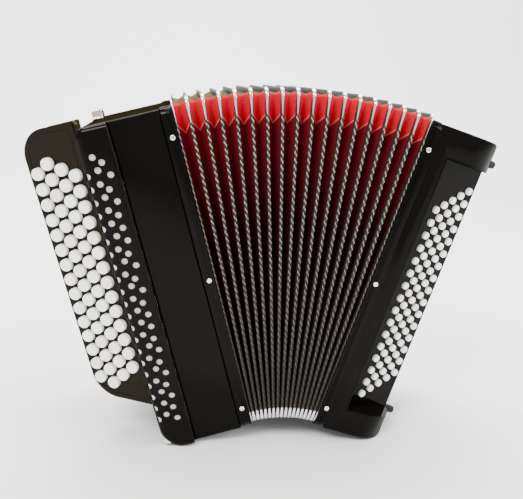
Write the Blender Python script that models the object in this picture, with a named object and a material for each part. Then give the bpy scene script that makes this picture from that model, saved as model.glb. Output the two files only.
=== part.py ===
"""A chromatic button accordion with its bellows fanned open, standing on the lower corners of its halves.

Units are metres and +Z is up. The front faces -Y and the bass side is at +X.
Each half is modelled upright in its own frame: x = 0 is its bellows plane, y = 0 its front and z = 0
its underside. An empty then leans the half about the fan centre, where all planes of the bellows meet.
"""

import math

import bmesh
import bpy
from mathutils import Matrix, Vector

# Overall sizes
CASE_HEIGHT = 0.386
CASE_DEPTH = 0.180
TREBLE_WIDTH = 0.106
BASS_WIDTH = 0.098
CASE_WALL = 0.005
CLEARANCE = 0.0003

# Bellows
FOLDS = 16
FAN_ANGLE = math.radians(32)
FAN_DROP = 0.138  # from the underside of the halves down to the fan centre
FOLD_THICKNESS = 0.0036
FOLD_DEPTH = 0.022
FOLD_RADIUS = 0.010
FOLD_RISE = 0.008  # how far the folds stand above the tops of the cases
PIVOT_DROP = 0.004  # from the underside of the bellows down to the axis it closes about
FRAME_WIDTH = 0.013
FRAME_BAR = 0.014
FRAME_LIP = 0.0015

# Treble case, its front cover and its grille
TREBLE_TOP_RADIUS = 0.012
TREBLE_FOOT_RADIUS = 0.028
SOUNDBOARD_Y = 0.018
SOUNDBOARD_THICKNESS = 0.0035
FRONT_COVER_WIDTH = 0.0567
FRONT_COVER_WALL = 0.003
GRILLE_PROUD = 0.0105
GRILLE_WALL = 0.002
GRILLE_SLOTS = 6
GRILLE_SLOT_COLUMNS = 3
GRILLE_SLOT_WIDTH = 0.0055
CLOTH_THICKNESS = 0.0008

# Treble keyboard. Its board leans outwards, and its own frame has x across the rows and y into the board.
KEYBOARD_TILT = math.radians(24)
KEYBOARD_X = -0.1565
KEYBOARD_Y = 0.0196
DECK_THICKNESS = 0.003
DECK_OUTER = -0.0115
DECK_INNER = 0.057
DECK_TOP = 0.394
DECK_FOOT_OUTER = 0.080
DECK_FOOT_INNER = 0.060
DECK_TOP_RADIUS = 0.030
DECK_FOOT_RADIUS = 0.025
BACK_COVER_WALL = 0.002
BACK_INSET = 0.001  # from the edge of the deck
BACK_CORNER_Y = 0.040
BACK_SHOULDER = 0.016
BACK_SHOULDER_Y = 0.058
BACK_DEPTH = 0.070
TREBLE_PITCH = 0.0175
TREBLE_ROW_STEP = 0.015
TREBLE_FIRST_Z = 0.3475
TREBLE_ROWS = ((0.0, 15), (-0.5, 16), (0.0, 15), (0.5, 14))  # first button in pitches down, and how many
TREBLE_BUTTON_RADIUS = 0.0072
TREBLE_BUTTON_PROUD = 0.005
TREBLE_TRAVEL = 0.004
TREBLE_BUTTON_SIDES = 8
BUTTON_PLAY = 0.0006  # between a button and the edge of its hole
RAIL_PLAY = 0.001  # between a pressed row's rail and the board in front of it

# Reed blocks
REED_BLOCK_BACK = 0.066
REED_BLOCK_MARGIN = 0.030  # from the top and the underside of the case
REED_BLOCK_CENTRES = (-0.083, -0.045)
REED_BLOCK_WIDTH = 0.030
REED_BLOCK_FOOT = 0.006
REED_CELL_SHARE = 0.6
TREBLE_REED_CELLS = 14
BASS_REED_CELLS = 10
BASS_SOUNDBOARD_X = 0.024
BASS_BLOCK_REACH = 0.032
BASS_BLOCK_Y = (0.070, CASE_DEPTH - 0.020)

BASS_WINDOW = (0.016, 0.012)
BASS_WINDOW_Y = (0.085, CASE_DEPTH - 0.035)

# Treble pallets
PALLETS = 12
PALLET_PITCH = 0.0275
PALLET_FIRST_X = -0.094
PALLET_ROW_STEP = 0.020
PALLET_WIDTH = 0.011
PALLET_HEIGHT = 0.014
PALLET_THICKNESS = 0.003
AXLE_Y = 0.009
AXLE_REACH = 0.014  # from the far edge of a pallet to its axle
AXLE_RADIUS = 0.0015
AXLE_PLAY = 0.0003
HUB_SIZE = 0.005
ARM_STEP = 0.004  # from the hub to where the arm drops to the pallet
ARM_OVERLAP = 0.0004

# Bass case and its button board. The board's own frame has x across the rows and y into the board.
BASS_FRONT_RADIUS = 0.043
BASS_EDGE_RADIUS = 0.015
BASS_RECESS_X = 0.030
BASS_RECESS_LOW = 0.028
BASS_RECESS_HIGH = 0.354
BOARD_TILT = math.radians(24)
BOARD_X = 0.0518
BOARD_Y = 0.0244
BOARD_THICKNESS = 0.003
BOARD_WALL = 0.002
BASS_ROWS = 5
BASS_COLUMNS = 16
BASS_PITCH = 0.01635
BASS_ROW_STEP = 0.0103
BASS_FIRST_Z = 0.2923
BASS_BUTTON_RADIUS = 0.0045
BASS_BUTTON_PROUD = 0.003
BASS_BUTTON_SIDES = 6
BASS_TRAVEL = 0.0035
RAIL_THICKNESS = 0.0025
END_COVER_THICKNESS = 0.0033
END_COVER_BEHIND = 0.008  # from the face of the button board, where it meets the outer wall
END_COVER_FRONT = BOARD_Y + (BASS_WIDTH - BOARD_X) * math.tan(BOARD_TILT) + END_COVER_BEHIND
END_COVER_MARGIN = 0.012
END_COVER_RIM = 0.012
FOOT_RADIUS = 0.006
FOOT_LENGTH = 0.020
FOOT_INSET = 0.010
STRAP_WIDTH = 0.044
STRAP_CENTRE_Y = 0.126
STRAP_LOW = 0.044
STRAP_HIGH = 0.336
STRAP_THICKNESS = 0.003
STRAP_BULGE = 0.014
STRAP_BRACKET_HEIGHT = 0.012
STRAP_BRACKET_REACH = 0.010
STRAP_BRACKET_SIDE = 0.003
WHEEL_RADIUS = 0.005
WHEEL_HEIGHT = 0.006
AIR_BUTTON_RADIUS = 0.005
AIR_BUTTON_PROUD = 0.007
AIR_BUTTON_STEM = 0.002
AIR_BUTTON_Y = 0.158
AIR_BUTTON_Z = 0.250
AIR_VENT_RADIUS = 0.007
AIR_VALVE_RADIUS = 0.009
AIR_VALVE_DROP = 0.030
AIR_VALVE_THICKNESS = 0.003

# Shoulder strap brackets
BRACKET_SPAN = 0.024
BRACKET_RISE = 0.011
BRACKET_STOCK = 0.0025
BRACKET_WIDTH = 0.012
BRACKET_FOOT = 0.006
UPPER_BRACKET_X = -0.088
UPPER_BRACKET_Y = 0.105
LOWER_BRACKET_X = -0.068
LOWER_BRACKET_Z = 0.044

BIG = 0.1  # how far a cutter runs past what it cuts

PLASTIC_BLACK = ("gloss_black_celluloid", (0.012, 0.011, 0.010), 0.12, 0.0)
BUTTON_WHITE = ("button_white", (0.85, 0.83, 0.80), 0.2, 0.0)
GRILLE_BLACK = ("grille_black", (0.015, 0.014, 0.012), 0.2, 0.2)
CLOTH_WHITE = ("grille_cloth_white", (0.85, 0.84, 0.82), 0.9, 0.0)
FOLD_RED = ("bellows_cloth", (0.45, 0.02, 0.03), 0.7, 0.0)
SPRUCE = ("spruce", (0.72, 0.55, 0.35), 0.6, 0.0)
STEEL = ("steel", (0.6, 0.6, 0.6), 0.3, 1.0)
PALLET_GREY = ("pallet_aluminium", (0.75, 0.75, 0.76), 0.4, 1.0)
CHROME = ("chrome", (0.8, 0.8, 0.8), 0.08, 1.0)
LEATHER = ("strap_leather", (0.02, 0.018, 0.016), 0.55, 0.0)
RUBBER = ("foot_rubber", (0.02, 0.02, 0.02), 0.8, 0.0)


def remove_everything():
    for leftover in list(bpy.data.objects):
        bpy.data.objects.remove(leftover)


def material(look):
    name, colour, roughness, metallic = look
    made = bpy.data.materials.get(name)
    if made is None:
        made = bpy.data.materials.new(name)
        made.use_nodes = True
        shader = made.node_tree.nodes["Principled BSDF"]
        shader.inputs["Base Color"].default_value = (*colour, 1)
        shader.inputs["Roughness"].default_value = roughness
        shader.inputs["Metallic"].default_value = metallic
    return made


def empty(name, parent=None, location=(0, 0, 0), rotation=(0, 0, 0)):
    made = bpy.data.objects.new(name, None)
    bpy.context.scene.collection.objects.link(made)
    made.parent = parent
    made.location = location
    made.rotation_euler = rotation
    return made


def rounded(corners, segments=3):
    """The outline through the corners, each (u, v) or (u, v, radius), with an arc at each radius."""
    outline = []
    for i, corner in enumerate(corners):
        here = Vector(corner[:2])
        radius = corner[2] if len(corner) > 2 else 0
        if not radius:
            outline.append(here)
            continue
        before = (Vector(corners[i - 1][:2]) - here).normalized()
        after = (Vector(corners[(i + 1) % len(corners)][:2]) - here).normalized()
        half = before.angle(after) / 2
        centre = here + (before + after).normalized() * radius / math.sin(half)
        first = here + before * radius / math.tan(half) - centre
        last = here + after * radius / math.tan(half) - centre
        turn = math.atan2(first.x * last.y - first.y * last.x, first.dot(last))
        for step in range(segments + 1):
            angle = turn * step / segments
            outline.append(centre + Matrix.Rotation(angle, 2) @ first)
    return outline


def point_on(axis, u, v, along):
    """A point from its two flat coordinates and its distance along the axis that the outline is swept on."""
    if axis == "x":
        return Vector((along, u, v))
    if axis == "y":
        return Vector((u, along, v))
    return Vector((u, v, along))


def prism(outline, axis, low, high):
    """A closed prism: the outline swept along an axis."""
    mesh = bmesh.new()
    ends = []
    for along in (low, high):
        ends.append([mesh.verts.new(point_on(axis, u, v, along)) for u, v in outline])
    mesh.faces.new(ends[0])
    mesh.faces.new(ends[1])
    for i in range(len(outline)):
        mesh.faces.new((ends[0][i - 1], ends[0][i], ends[1][i], ends[1][i - 1]))
    bmesh.ops.recalc_face_normals(mesh, faces=mesh.faces)
    return mesh


def box(x, y, z):
    return prism(((x[0], y[0]), (x[1], y[0]), (x[1], y[1]), (x[0], y[1])), "z", z[0], z[1])


def ring(outer, inner, axis, low, high):
    """A flat ring between two outlines that have the same number of points."""
    mesh = bmesh.new()
    loops = []
    for outline, along in ((outer, low), (outer, high), (inner, high), (inner, low)):
        loops.append([mesh.verts.new(point_on(axis, u, v, along)) for u, v in outline])
    for k in range(4):
        near, far = loops[k], loops[(k + 1) % 4]
        for i in range(len(outer)):
            mesh.faces.new((near[i - 1], near[i], far[i], far[i - 1]))
    bmesh.ops.recalc_face_normals(mesh, faces=mesh.faces)
    return mesh


def circle(u, v, radius, sides):
    """The points of a regular polygon, all at the radius from its centre."""
    points = []
    for i in range(sides):
        angle = math.tau * (i + 0.5) / sides
        points.append(Vector((u + radius * math.cos(angle), v + radius * math.sin(angle))))
    return points


def together(meshes):
    """One mesh that holds several. They stay separate bodies until a union joins them."""
    whole = bmesh.new()
    for mesh in meshes:
        held = bpy.data.meshes.new("held")
        mesh.to_mesh(held)
        whole.from_mesh(held)
        bpy.data.meshes.remove(held)
        mesh.free()
    return whole


def combine(first, operation, second):
    """The exact Boolean of two meshes. It uses both up."""
    pair = []
    for mesh in (first, second):
        data = bpy.data.meshes.new("operand")
        mesh.to_mesh(data)
        mesh.free()
        operand = bpy.data.objects.new("operand", data)
        bpy.context.scene.collection.objects.link(operand)
        pair.append(operand)
    step = pair[0].modifiers.new(operation, "BOOLEAN")
    step.operation = operation
    step.solver = "EXACT"
    step.object = pair[1]
    bpy.context.view_layer.update()
    graph = bpy.context.evaluated_depsgraph_get()
    result = bmesh.new()
    result.from_mesh(pair[0].evaluated_get(graph).to_mesh())
    for operand in pair:
        data = operand.data
        bpy.data.objects.remove(operand)
        bpy.data.meshes.remove(data)
    bmesh.ops.remove_doubles(result, verts=result.verts, dist=1e-6)
    return result


def piece(name, mesh, look, parent, origin=(0, 0, 0), smooth=False):
    """A named sub-part. Its origin is given in its parent's frame, as its mesh's points are."""
    origin = Vector(origin)
    bmesh.ops.translate(mesh, verts=mesh.verts, vec=-origin)
    data = bpy.data.meshes.new(name)
    mesh.to_mesh(data)
    mesh.free()
    data.materials.append(material(look))
    if smooth:
        data.shade_smooth()
        data.set_sharp_from_angle(angle=math.radians(35))
    made = bpy.data.objects.new(name, data)
    bpy.context.scene.collection.objects.link(made)
    made.parent = parent
    made.location = origin
    return made


def treble_lean():
    """How far the treble half leans, so that both halves stand on one floor on their lower corners."""
    treble = Vector((TREBLE_WIDTH - TREBLE_FOOT_RADIUS, FAN_DROP + TREBLE_FOOT_RADIUS))
    bass = Vector((BASS_WIDTH - BASS_EDGE_RADIUS, FAN_DROP + BASS_EDGE_RADIUS))
    p = treble.y - bass.y * math.cos(FAN_ANGLE) + bass.x * math.sin(FAN_ANGLE)
    q = treble.x + bass.y * math.sin(FAN_ANGLE) + bass.x * math.cos(FAN_ANGLE)
    apart = TREBLE_FOOT_RADIUS - BASS_EDGE_RADIUS
    return math.acos(apart / math.hypot(p, q)) - math.atan2(q, p)


def pivot():
    """The axis that the bellows closes about, below the lowest folds, in the treble half's frame."""
    reach = FAN_DROP - PIVOT_DROP
    return Vector((reach * math.tan(FAN_ANGLE / 2), 0, -PIVOT_DROP))


def leaning(name, root, lean, hub=None):
    """An empty that carries a frame leaning about the fan centre. It sits at the hub, if one is given."""
    turn = Matrix.Rotation(lean, 4, "Y")
    fan = Matrix.Translation((0, 0, -FAN_DROP))
    placed = fan @ turn @ fan.inverted()
    carrier = empty(name, root)
    if hub is None:
        carrier.matrix_local = placed
        return carrier
    hinge = Matrix.Translation(hub) @ turn
    carrier.matrix_local = hinge
    inner = empty(name + "_frame", carrier)
    inner.matrix_local = hinge.inverted() @ placed
    return inner


def case_rectangle(inset=0.0, radius=FOLD_RADIUS, rise=0.0):
    """A half's outline across the bellows, as (y, z), moved in by the inset and raised at its top."""
    low, deep, high = inset, CASE_DEPTH - inset, CASE_HEIGHT + rise - inset
    return rounded(((low, low, radius), (deep, low, radius), (deep, high, radius), (low, high, radius)), 2)


def treble_outline(inner_x, inset=0.0):
    """The treble half's front outline as (x, z), with its large lower corner."""
    outer, low, high = -TREBLE_WIDTH + inset, inset, CASE_HEIGHT - inset
    return rounded(
        (
            (outer, low, TREBLE_FOOT_RADIUS - inset),
            (inner_x, low),
            (inner_x, high),
            (outer, high, TREBLE_TOP_RADIUS - inset),
        ),
        5,
    )


def deck_point(across, depth):
    """A point of the keyboard's frame, in the treble half's frame, as (x, y)."""
    cos, sin = math.cos(KEYBOARD_TILT), math.sin(KEYBOARD_TILT)
    return KEYBOARD_X + across * cos + depth * sin, KEYBOARD_Y - across * sin + depth * cos


def deck_outline(inset=0.0, inner=DECK_INNER):
    """The keyboard's rounded outline in its own frame, as (x, z)."""
    return rounded(
        (
            (DECK_OUTER + inset, DECK_TOP - inset, DECK_TOP_RADIUS - inset),
            (inner, DECK_TOP - inset),
            (inner, DECK_FOOT_INNER + inset),
            (DECK_OUTER + inset, DECK_FOOT_OUTER + inset, DECK_FOOT_RADIUS - inset),
        ),
        6,
    )


def treble_row_heights(row):
    first, count = TREBLE_ROWS[row]
    return [TREBLE_FIRST_Z - TREBLE_PITCH * (first + i) for i in range(count)]


def bass_row_heights(row):
    return [BASS_FIRST_Z + BASS_PITCH * (row / 2 - i) for i in range(BASS_COLUMNS)]


def make_treble_case(half):
    face = -FRAME_WIDTH - CLEARANCE
    shell = prism(treble_outline(face), "y", SOUNDBOARD_Y, CASE_DEPTH)
    hollow = prism(treble_outline(face + BIG, CASE_WALL), "y", SOUNDBOARD_Y - BIG, CASE_DEPTH - CASE_WALL)
    piece("treble_case", combine(shell, "DIFFERENCE", hollow), PLASTIC_BLACK, half)


def make_treble_soundboard(half):
    board = prism(
        treble_outline(-FRAME_WIDTH - 2 * CLEARANCE, CASE_WALL + CLEARANCE),
        "y",
        SOUNDBOARD_Y,
        SOUNDBOARD_Y + SOUNDBOARD_THICKNESS,
    )
    windows = []
    for row in range(len(TREBLE_ROWS)):
        x = PALLET_FIRST_X + PALLET_ROW_STEP * row
        for z in pallet_heights():
            width, height = PALLET_WIDTH / 4, PALLET_HEIGHT / 3
            windows.append(box((x - width, x + width), (0, BIG), (z - height, z + height)))
    piece("treble_soundboard", combine(board, "DIFFERENCE", together(windows)), PALLET_GREY, half)


def make_reed_block(name, half, x, y, z, cells):
    """A long block of wood with a row of reed chambers cut into one side."""
    middle, quarter = (x[0] + x[1]) / 2, (x[1] - x[0]) / 4
    outline = ((x[0], y[0]), (x[1], y[0]), (middle + quarter, y[1]), (middle - quarter, y[1]))
    block = prism(outline, "z", z[0], z[1])
    step = (z[1] - z[0]) / cells
    chambers = []
    for i in range(cells):
        low = z[0] + step * (i + (1 - REED_CELL_SHARE) / 2)
        deep = (y[0] + REED_BLOCK_FOOT, y[1] - 2 * REED_BLOCK_FOOT)
        chambers.append(box((x[0] - BIG, middle - quarter), deep, (low, low + step * REED_CELL_SHARE)))
    piece(name, combine(block, "DIFFERENCE", together(chambers)), SPRUCE, half)


def make_bellows_frame(name, half, side):
    """The frame ring at one end of the bellows. side is -1 on the treble half and 1 on the bass half."""
    outer = case_rectangle(-FRAME_LIP, FOLD_RADIUS + FRAME_LIP)
    inner = case_rectangle(FRAME_BAR, FOLD_RADIUS / 2)
    low, high = sorted((0, side * FRAME_WIDTH))
    piece(name, ring(outer, inner, "x", low, high), PLASTIC_BLACK, half)


def make_front_cover(half):
    inner = -FRAME_WIDTH - CLEARANCE
    outer = inner - FRONT_COVER_WIDTH
    back = SOUNDBOARD_Y - CLEARANCE
    wall = FRONT_COVER_WALL
    cover = box((outer, inner), (0, back), (0, CASE_HEIGHT))
    hollow = box((outer - BIG, inner - wall), (wall, BIG), (wall, CASE_HEIGHT - wall))
    piece("treble_front_cover", combine(cover, "DIFFERENCE", hollow), PLASTIC_BLACK, half)


def grille_edge():
    """Where the grille meets the front cover."""
    return -FRAME_WIDTH - 2 * CLEARANCE - FRONT_COVER_WIDTH


def make_grille(half):
    inner = grille_edge()
    wall = GRILLE_WALL
    cover = prism(treble_outline(inner), "y", -GRILLE_PROUD, SOUNDBOARD_Y - CLEARANCE)
    front = [edge for edge in cover.edges if all(v.co.y < -GRILLE_PROUD + 1e-5 for v in edge.verts)]
    bmesh.ops.bevel(cover, geom=front, offset=wall * 2, segments=2, profile=0.5, affect="EDGES")
    hollow = prism(treble_outline(inner - wall, wall), "y", wall * 1.5 - GRILLE_PROUD, BIG)
    high = (FRONT_COVER_WALL, CASE_HEIGHT - FRONT_COVER_WALL)
    passage = box((inner - 2 * wall, inner + BIG), (wall, BIG), high)
    under_deck = deck_point(DECK_INNER, 0)[1] - 2 * CLEARANCE
    beside = (-TREBLE_WIDTH - BIG, -TREBLE_WIDTH + 2 * wall)
    keyhole = box(beside, (under_deck, BIG), (DECK_FOOT_INNER / 2, CASE_HEIGHT + BIG))
    shell = combine(cover, "DIFFERENCE", hollow)
    shell = combine(shell, "DIFFERENCE", passage)
    shell = combine(shell, "DIFFERENCE", keyhole)
    slots = []
    width = TREBLE_WIDTH + inner - 2 * wall
    length = (CASE_HEIGHT - 2 * TREBLE_FOOT_RADIUS) / GRILLE_SLOTS
    for column in range(GRILLE_SLOT_COLUMNS):
        x = inner - wall - width * (column + 0.5) / GRILLE_SLOT_COLUMNS
        for i in range(GRILLE_SLOTS):
            low = TREBLE_FOOT_RADIUS + length * i
            across = (x - GRILLE_SLOT_WIDTH / 2, x + GRILLE_SLOT_WIDTH / 2)
            slots.append(box(across, (-BIG, 0), (low + wall, low + length - wall)))
    shell = combine(shell, "DIFFERENCE", together(slots))
    piece("treble_grille", shell, GRILLE_BLACK, half)


def make_grille_cloth(half):
    inner = grille_edge() - GRILLE_WALL - CLEARANCE
    near = GRILLE_WALL * 1.5 - GRILLE_PROUD + CLEARANCE
    outline = treble_outline(inner, GRILLE_WALL + 2 * CLEARANCE)
    piece("grille_cloth", prism(outline, "y", near, near + CLOTH_THICKNESS), CLOTH_WHITE, half)


def make_deck(board):
    deck = prism(deck_outline(), "y", 0, DECK_THICKNESS)
    holes = []
    for row in range(len(TREBLE_ROWS)):
        for z in treble_row_heights(row):
            radius = (TREBLE_BUTTON_RADIUS + BUTTON_PLAY) / math.cos(math.pi / TREBLE_BUTTON_SIDES)
            hole = circle(TREBLE_ROW_STEP * row, z, radius, TREBLE_BUTTON_SIDES)
            holes.append(prism(hole, "y", -BIG, BIG))
    piece("keyboard_deck", combine(deck, "DIFFERENCE", together(holes)), PLASTIC_BLACK, board)


def across_body(x, rim):
    """Where a point of the deck's outline falls across the keyboard's body. Its outer wall is at the rim."""
    return rim + (x - DECK_OUTER - BACK_INSET) * math.cos(KEYBOARD_TILT)


def make_back_cover(half):
    """The keyboard's hollow body, between its deck and the outer wall of the case."""
    wall = BACK_COVER_WALL
    side = -TREBLE_WIDTH - CLEARANCE
    inset = BACK_INSET
    under = DECK_THICKNESS + CLEARANCE
    rim = deck_point(DECK_OUTER + inset, under)
    across = (side - deck_point(0, under)[0]) / math.cos(KEYBOARD_TILT)
    lip = deck_point(across, under)
    corner = (rim[0], BACK_CORNER_Y)
    shoulder = (rim[0] + BACK_SHOULDER, BACK_SHOULDER_Y)
    outer = (rim, corner, shoulder, (side, BACK_DEPTH), lip)
    inner = (
        (rim[0] + wall, -BIG),
        (corner[0] + wall, corner[1] - wall / 2),
        (shoulder[0] + wall / 2, shoulder[1] - wall),
        (side - wall, BACK_DEPTH - wall * 1.5),
        (side - wall, SOUNDBOARD_Y - CLEARANCE),
        (side + BIG, SOUNDBOARD_Y - CLEARANCE),
        (side + BIG, -BIG),
    )
    front = [(across_body(x, rim[0]), z) for x, z in deck_outline(inset, DECK_INNER + BIG)]
    body = combine(prism(outer, "z", 0, CASE_HEIGHT * 2), "INTERSECT", prism(front, "y", -BIG, BIG * 2))
    hollow = [(across_body(x, rim[0]), z) for x, z in deck_outline(inset + wall, DECK_INNER + BIG)]
    core = combine(prism(inner, "z", 0, CASE_HEIGHT * 2), "INTERSECT", prism(hollow, "y", -BIG, BIG * 2))
    piece("keyboard_back_cover", combine(body, "DIFFERENCE", core), PLASTIC_BLACK, half)


def make_button_row(name, board, across, heights, size, rail_depth):
    """One row of buttons on a common rail behind their board. The row slides along its board's y."""
    radius, proud, sides = size
    buttons = []
    for z in heights:
        buttons.append(prism(circle(across, z, radius, sides), "y", -proud, rail_depth + RAIL_THICKNESS / 2))
    half_width = radius / 2
    ends = (min(heights) - half_width, max(heights) + half_width)
    rail = box((across - half_width, across + half_width), (rail_depth, rail_depth + RAIL_THICKNESS), ends)
    whole = combine(rail, "UNION", together(buttons))
    piece(name, whole, BUTTON_WHITE, board, (across, 0, sum(ends) / 2), smooth=True)


def pallet_heights():
    return [CASE_HEIGHT / 2 + PALLET_PITCH * (i - (PALLETS - 1) / 2) for i in range(PALLETS)]


def make_pallet_row(row, half):
    """A row of pallets on one hub that turns on its axle."""
    x = PALLET_FIRST_X + PALLET_ROW_STEP * row
    far = x - PALLET_WIDTH / 2
    axle = far + AXLE_REACH
    side = HUB_SIZE / 2
    heights = pallet_heights()
    low, high = heights[0] - PALLET_HEIGHT / 2, heights[-1] + PALLET_HEIGHT / 2
    corners = [Vector((axle + a * side, AXLE_Y + b * side)) for a, b in ((1, 1), (-1, 1), (-1, -1), (1, -1))]
    square = []
    for i in range(4):
        square += [corners[i - 1], (corners[i - 1] + corners[i]) / 2]
    bore = []
    for point in square:
        out = point - Vector((axle, AXLE_Y))
        reach = (AXLE_RADIUS + AXLE_PLAY) / math.cos(math.pi / 8)
        bore.append(Vector((axle, AXLE_Y)) + out.normalized() * reach)
    hub = ring(square, bore, "z", low, high)
    face = SOUNDBOARD_Y - CLEARANCE
    arms = []
    for z in heights:
        reach = (z - PALLET_HEIGHT / 2, z + PALLET_HEIGHT / 2)
        near = axle - side + ARM_OVERLAP
        outline = (
            (far, face - PALLET_THICKNESS),
            (near - ARM_STEP, face - PALLET_THICKNESS),
            (near - ARM_STEP, AXLE_Y - side / 2),
            (near, AXLE_Y - side / 2),
            (near, AXLE_Y + side / 2),
            (far + PALLET_WIDTH, face - PALLET_THICKNESS),
            (far + PALLET_WIDTH, face),
            (far, face),
        )
        arms.append(prism(outline, "z", reach[0] + CLEARANCE, reach[1] - CLEARANCE))
    whole = combine(hub, "UNION", together(arms))
    piece(f"treble_pallets_row_{row + 1}", whole, PALLET_GREY, half, (axle, AXLE_Y, CASE_HEIGHT / 2))
    rod = prism(circle(axle, AXLE_Y, AXLE_RADIUS, 8), "z", 2 * CASE_WALL, CASE_HEIGHT - 2 * CASE_WALL)
    piece(f"treble_pallet_axle_{row + 1}", rod, STEEL, half, (axle, AXLE_Y, CASE_HEIGHT / 2), smooth=True)


def bracket_outline(centre, base):
    """A strap loop's bent strip seen from its end: two feet, two legs and a bar."""
    half, stock, rise = BRACKET_SPAN / 2, BRACKET_STOCK, BRACKET_RISE
    foot = half + BRACKET_FOOT
    shape = (
        (-foot, 0),
        (-half + stock, 0),
        (-half + stock, rise - stock),
        (half - stock, rise - stock),
        (half - stock, 0),
        (foot, 0),
        (foot, stock),
        (half, stock),
        (half, rise),
        (-half, rise),
        (-half, stock),
        (-foot, stock),
    )
    return [(centre + a, base + b) for a, b in shape]


def make_strap_brackets(half):
    outline = bracket_outline(UPPER_BRACKET_Y, CASE_HEIGHT + CLEARANCE)
    side = BRACKET_WIDTH / 2
    upper = prism(outline, "x", UPPER_BRACKET_X - side, UPPER_BRACKET_X + side)
    piece("strap_bracket_upper", upper, CHROME, half)
    outline = bracket_outline(LOWER_BRACKET_X, CASE_DEPTH + CLEARANCE)
    lower = prism(outline, "z", LOWER_BRACKET_Z, LOWER_BRACKET_Z + BRACKET_WIDTH)
    piece("strap_bracket_lower", lower, CHROME, half)


def make_fold(index, root, lean, hub):
    """One fold of the bellows: a flat ring on its own plane through the fan centre."""
    carrier = leaning(f"fold_{index:02d}_hinge", root, lean, hub)
    outer = case_rectangle(0.001, FOLD_RADIUS, FOLD_RISE)
    inner = case_rectangle(FOLD_DEPTH, FOLD_RADIUS / 2, FOLD_RISE)
    fold = ring(outer, inner, "x", -FOLD_THICKNESS / 2, FOLD_THICKNESS / 2)
    piece(f"bellows_fold_{index:02d}", fold, FOLD_RED, carrier)


def bass_plan(inset=0.0, inner_x=FRAME_WIDTH + CLEARANCE):
    """The bass half seen from above, as (x, y), with its large front corner."""
    outer, near, far = BASS_WIDTH - inset, inset, CASE_DEPTH - inset
    return rounded(
        ((inner_x, near), (outer, near, BASS_FRONT_RADIUS), (outer, far, FOLD_RADIUS), (inner_x, far)), 6
    )


def bass_front():
    """The bass half's front outline as (x, z)."""
    return rounded(
        (
            (-BIG, 0),
            (BASS_WIDTH, 0, BASS_EDGE_RADIUS),
            (BASS_WIDTH, CASE_HEIGHT, BASS_EDGE_RADIUS),
            (-BIG, CASE_HEIGHT),
        ),
        4,
    )


def board_y(x):
    """How deep the face of the bass button board lies at x."""
    return BOARD_Y + (x - BOARD_X) * math.tan(BOARD_TILT)


def recess(start, drop, margin):
    """The wedge in front of the button board, or round the board itself where drop is its thickness."""
    end = BASS_WIDTH + BIG
    return (
        (start, -BIG),
        (start, board_y(start) + drop),
        (end, board_y(end) + drop),
        (end, -BIG),
    ), (BASS_RECESS_LOW + margin, BASS_RECESS_HIGH - margin)


def make_bass_case(half):
    upright = prism(bass_plan(), "z", 0, CASE_HEIGHT)
    block = combine(upright, "INTERSECT", prism(bass_front(), "y", -BIG, BIG * 3))
    wall = CASE_WALL
    hollow = combine(
        prism(bass_plan(wall, -BIG), "z", wall, CASE_HEIGHT - wall),
        "INTERSECT",
        box((-BIG, BASS_WIDTH - wall), (0, CASE_DEPTH), (0, CASE_HEIGHT)),
    )
    outline, height = recess(BASS_RECESS_X, (BOARD_THICKNESS + CLEARANCE) / math.cos(BOARD_TILT), 0)
    window = prism(outline, "z", *height)
    deep = CASE_DEPTH - END_COVER_MARGIN + CLEARANCE
    rim = END_COVER_RIM - CLEARANCE
    opening = (END_COVER_FRONT - CLEARANCE, deep)
    end = box((BASS_WIDTH / 2, BASS_WIDTH + BIG), opening, (rim, CASE_HEIGHT - rim))
    shell = combine(block, "DIFFERENCE", hollow)
    shell = combine(shell, "DIFFERENCE", window)
    shell = combine(shell, "DIFFERENCE", end)
    piece("bass_case", shell, PLASTIC_BLACK, half)


def make_bass_board(half):
    """The button board with the walls that line its recess, as one moulding."""
    outline, height = recess(BASS_RECESS_X + CLEARANCE, BOARD_THICKNESS / math.cos(BOARD_TILT), CLEARANCE)
    face, inside = recess(BASS_RECESS_X + CLEARANCE + BOARD_WALL, 0, CLEARANCE + BOARD_WALL)
    block = combine(prism(outline, "z", *height), "INTERSECT", prism(bass_plan(), "z", 0, CASE_HEIGHT))
    tray = combine(block, "DIFFERENCE", prism(face, "z", *inside))
    cos, sin = math.cos(BOARD_TILT), math.sin(BOARD_TILT)
    holes = []
    for row in range(BASS_ROWS):
        across = BASS_ROW_STEP * row
        for z in bass_row_heights(row):
            radius = (BASS_BUTTON_RADIUS + BUTTON_PLAY) / math.cos(math.pi / BASS_BUTTON_SIDES)
            hole = circle(across, z, radius, BASS_BUTTON_SIDES)
            hole = prism(hole, "y", -BOARD_THICKNESS, 2 * BOARD_THICKNESS)
            turn = Matrix.Translation((BOARD_X, BOARD_Y, 0)) @ Matrix.Rotation(BOARD_TILT, 4, "Z")
            bmesh.ops.transform(hole, matrix=turn, verts=hole.verts)
            holes.append(hole)
    piece("bass_button_board", combine(tray, "DIFFERENCE", together(holes)), PLASTIC_BLACK, half)


def make_bass_soundboard(half):
    x = (BASS_SOUNDBOARD_X, BASS_SOUNDBOARD_X + SOUNDBOARD_THICKNESS)
    wall = CASE_WALL + CLEARANCE
    board = box(x, (END_COVER_FRONT + CASE_WALL, CASE_DEPTH - wall), (wall, CASE_HEIGHT - wall))
    half_width, half_height = BASS_WINDOW[0] / 2, BASS_WINDOW[1] / 2
    windows = []
    for column in BASS_WINDOW_Y:
        for z in pallet_heights():
            across = (column - half_width, column + half_width)
            windows.append(box((0, BIG), across, (z - half_height, z + half_height)))
    piece("bass_soundboard", combine(board, "DIFFERENCE", together(windows)), PALLET_GREY, half)


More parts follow.
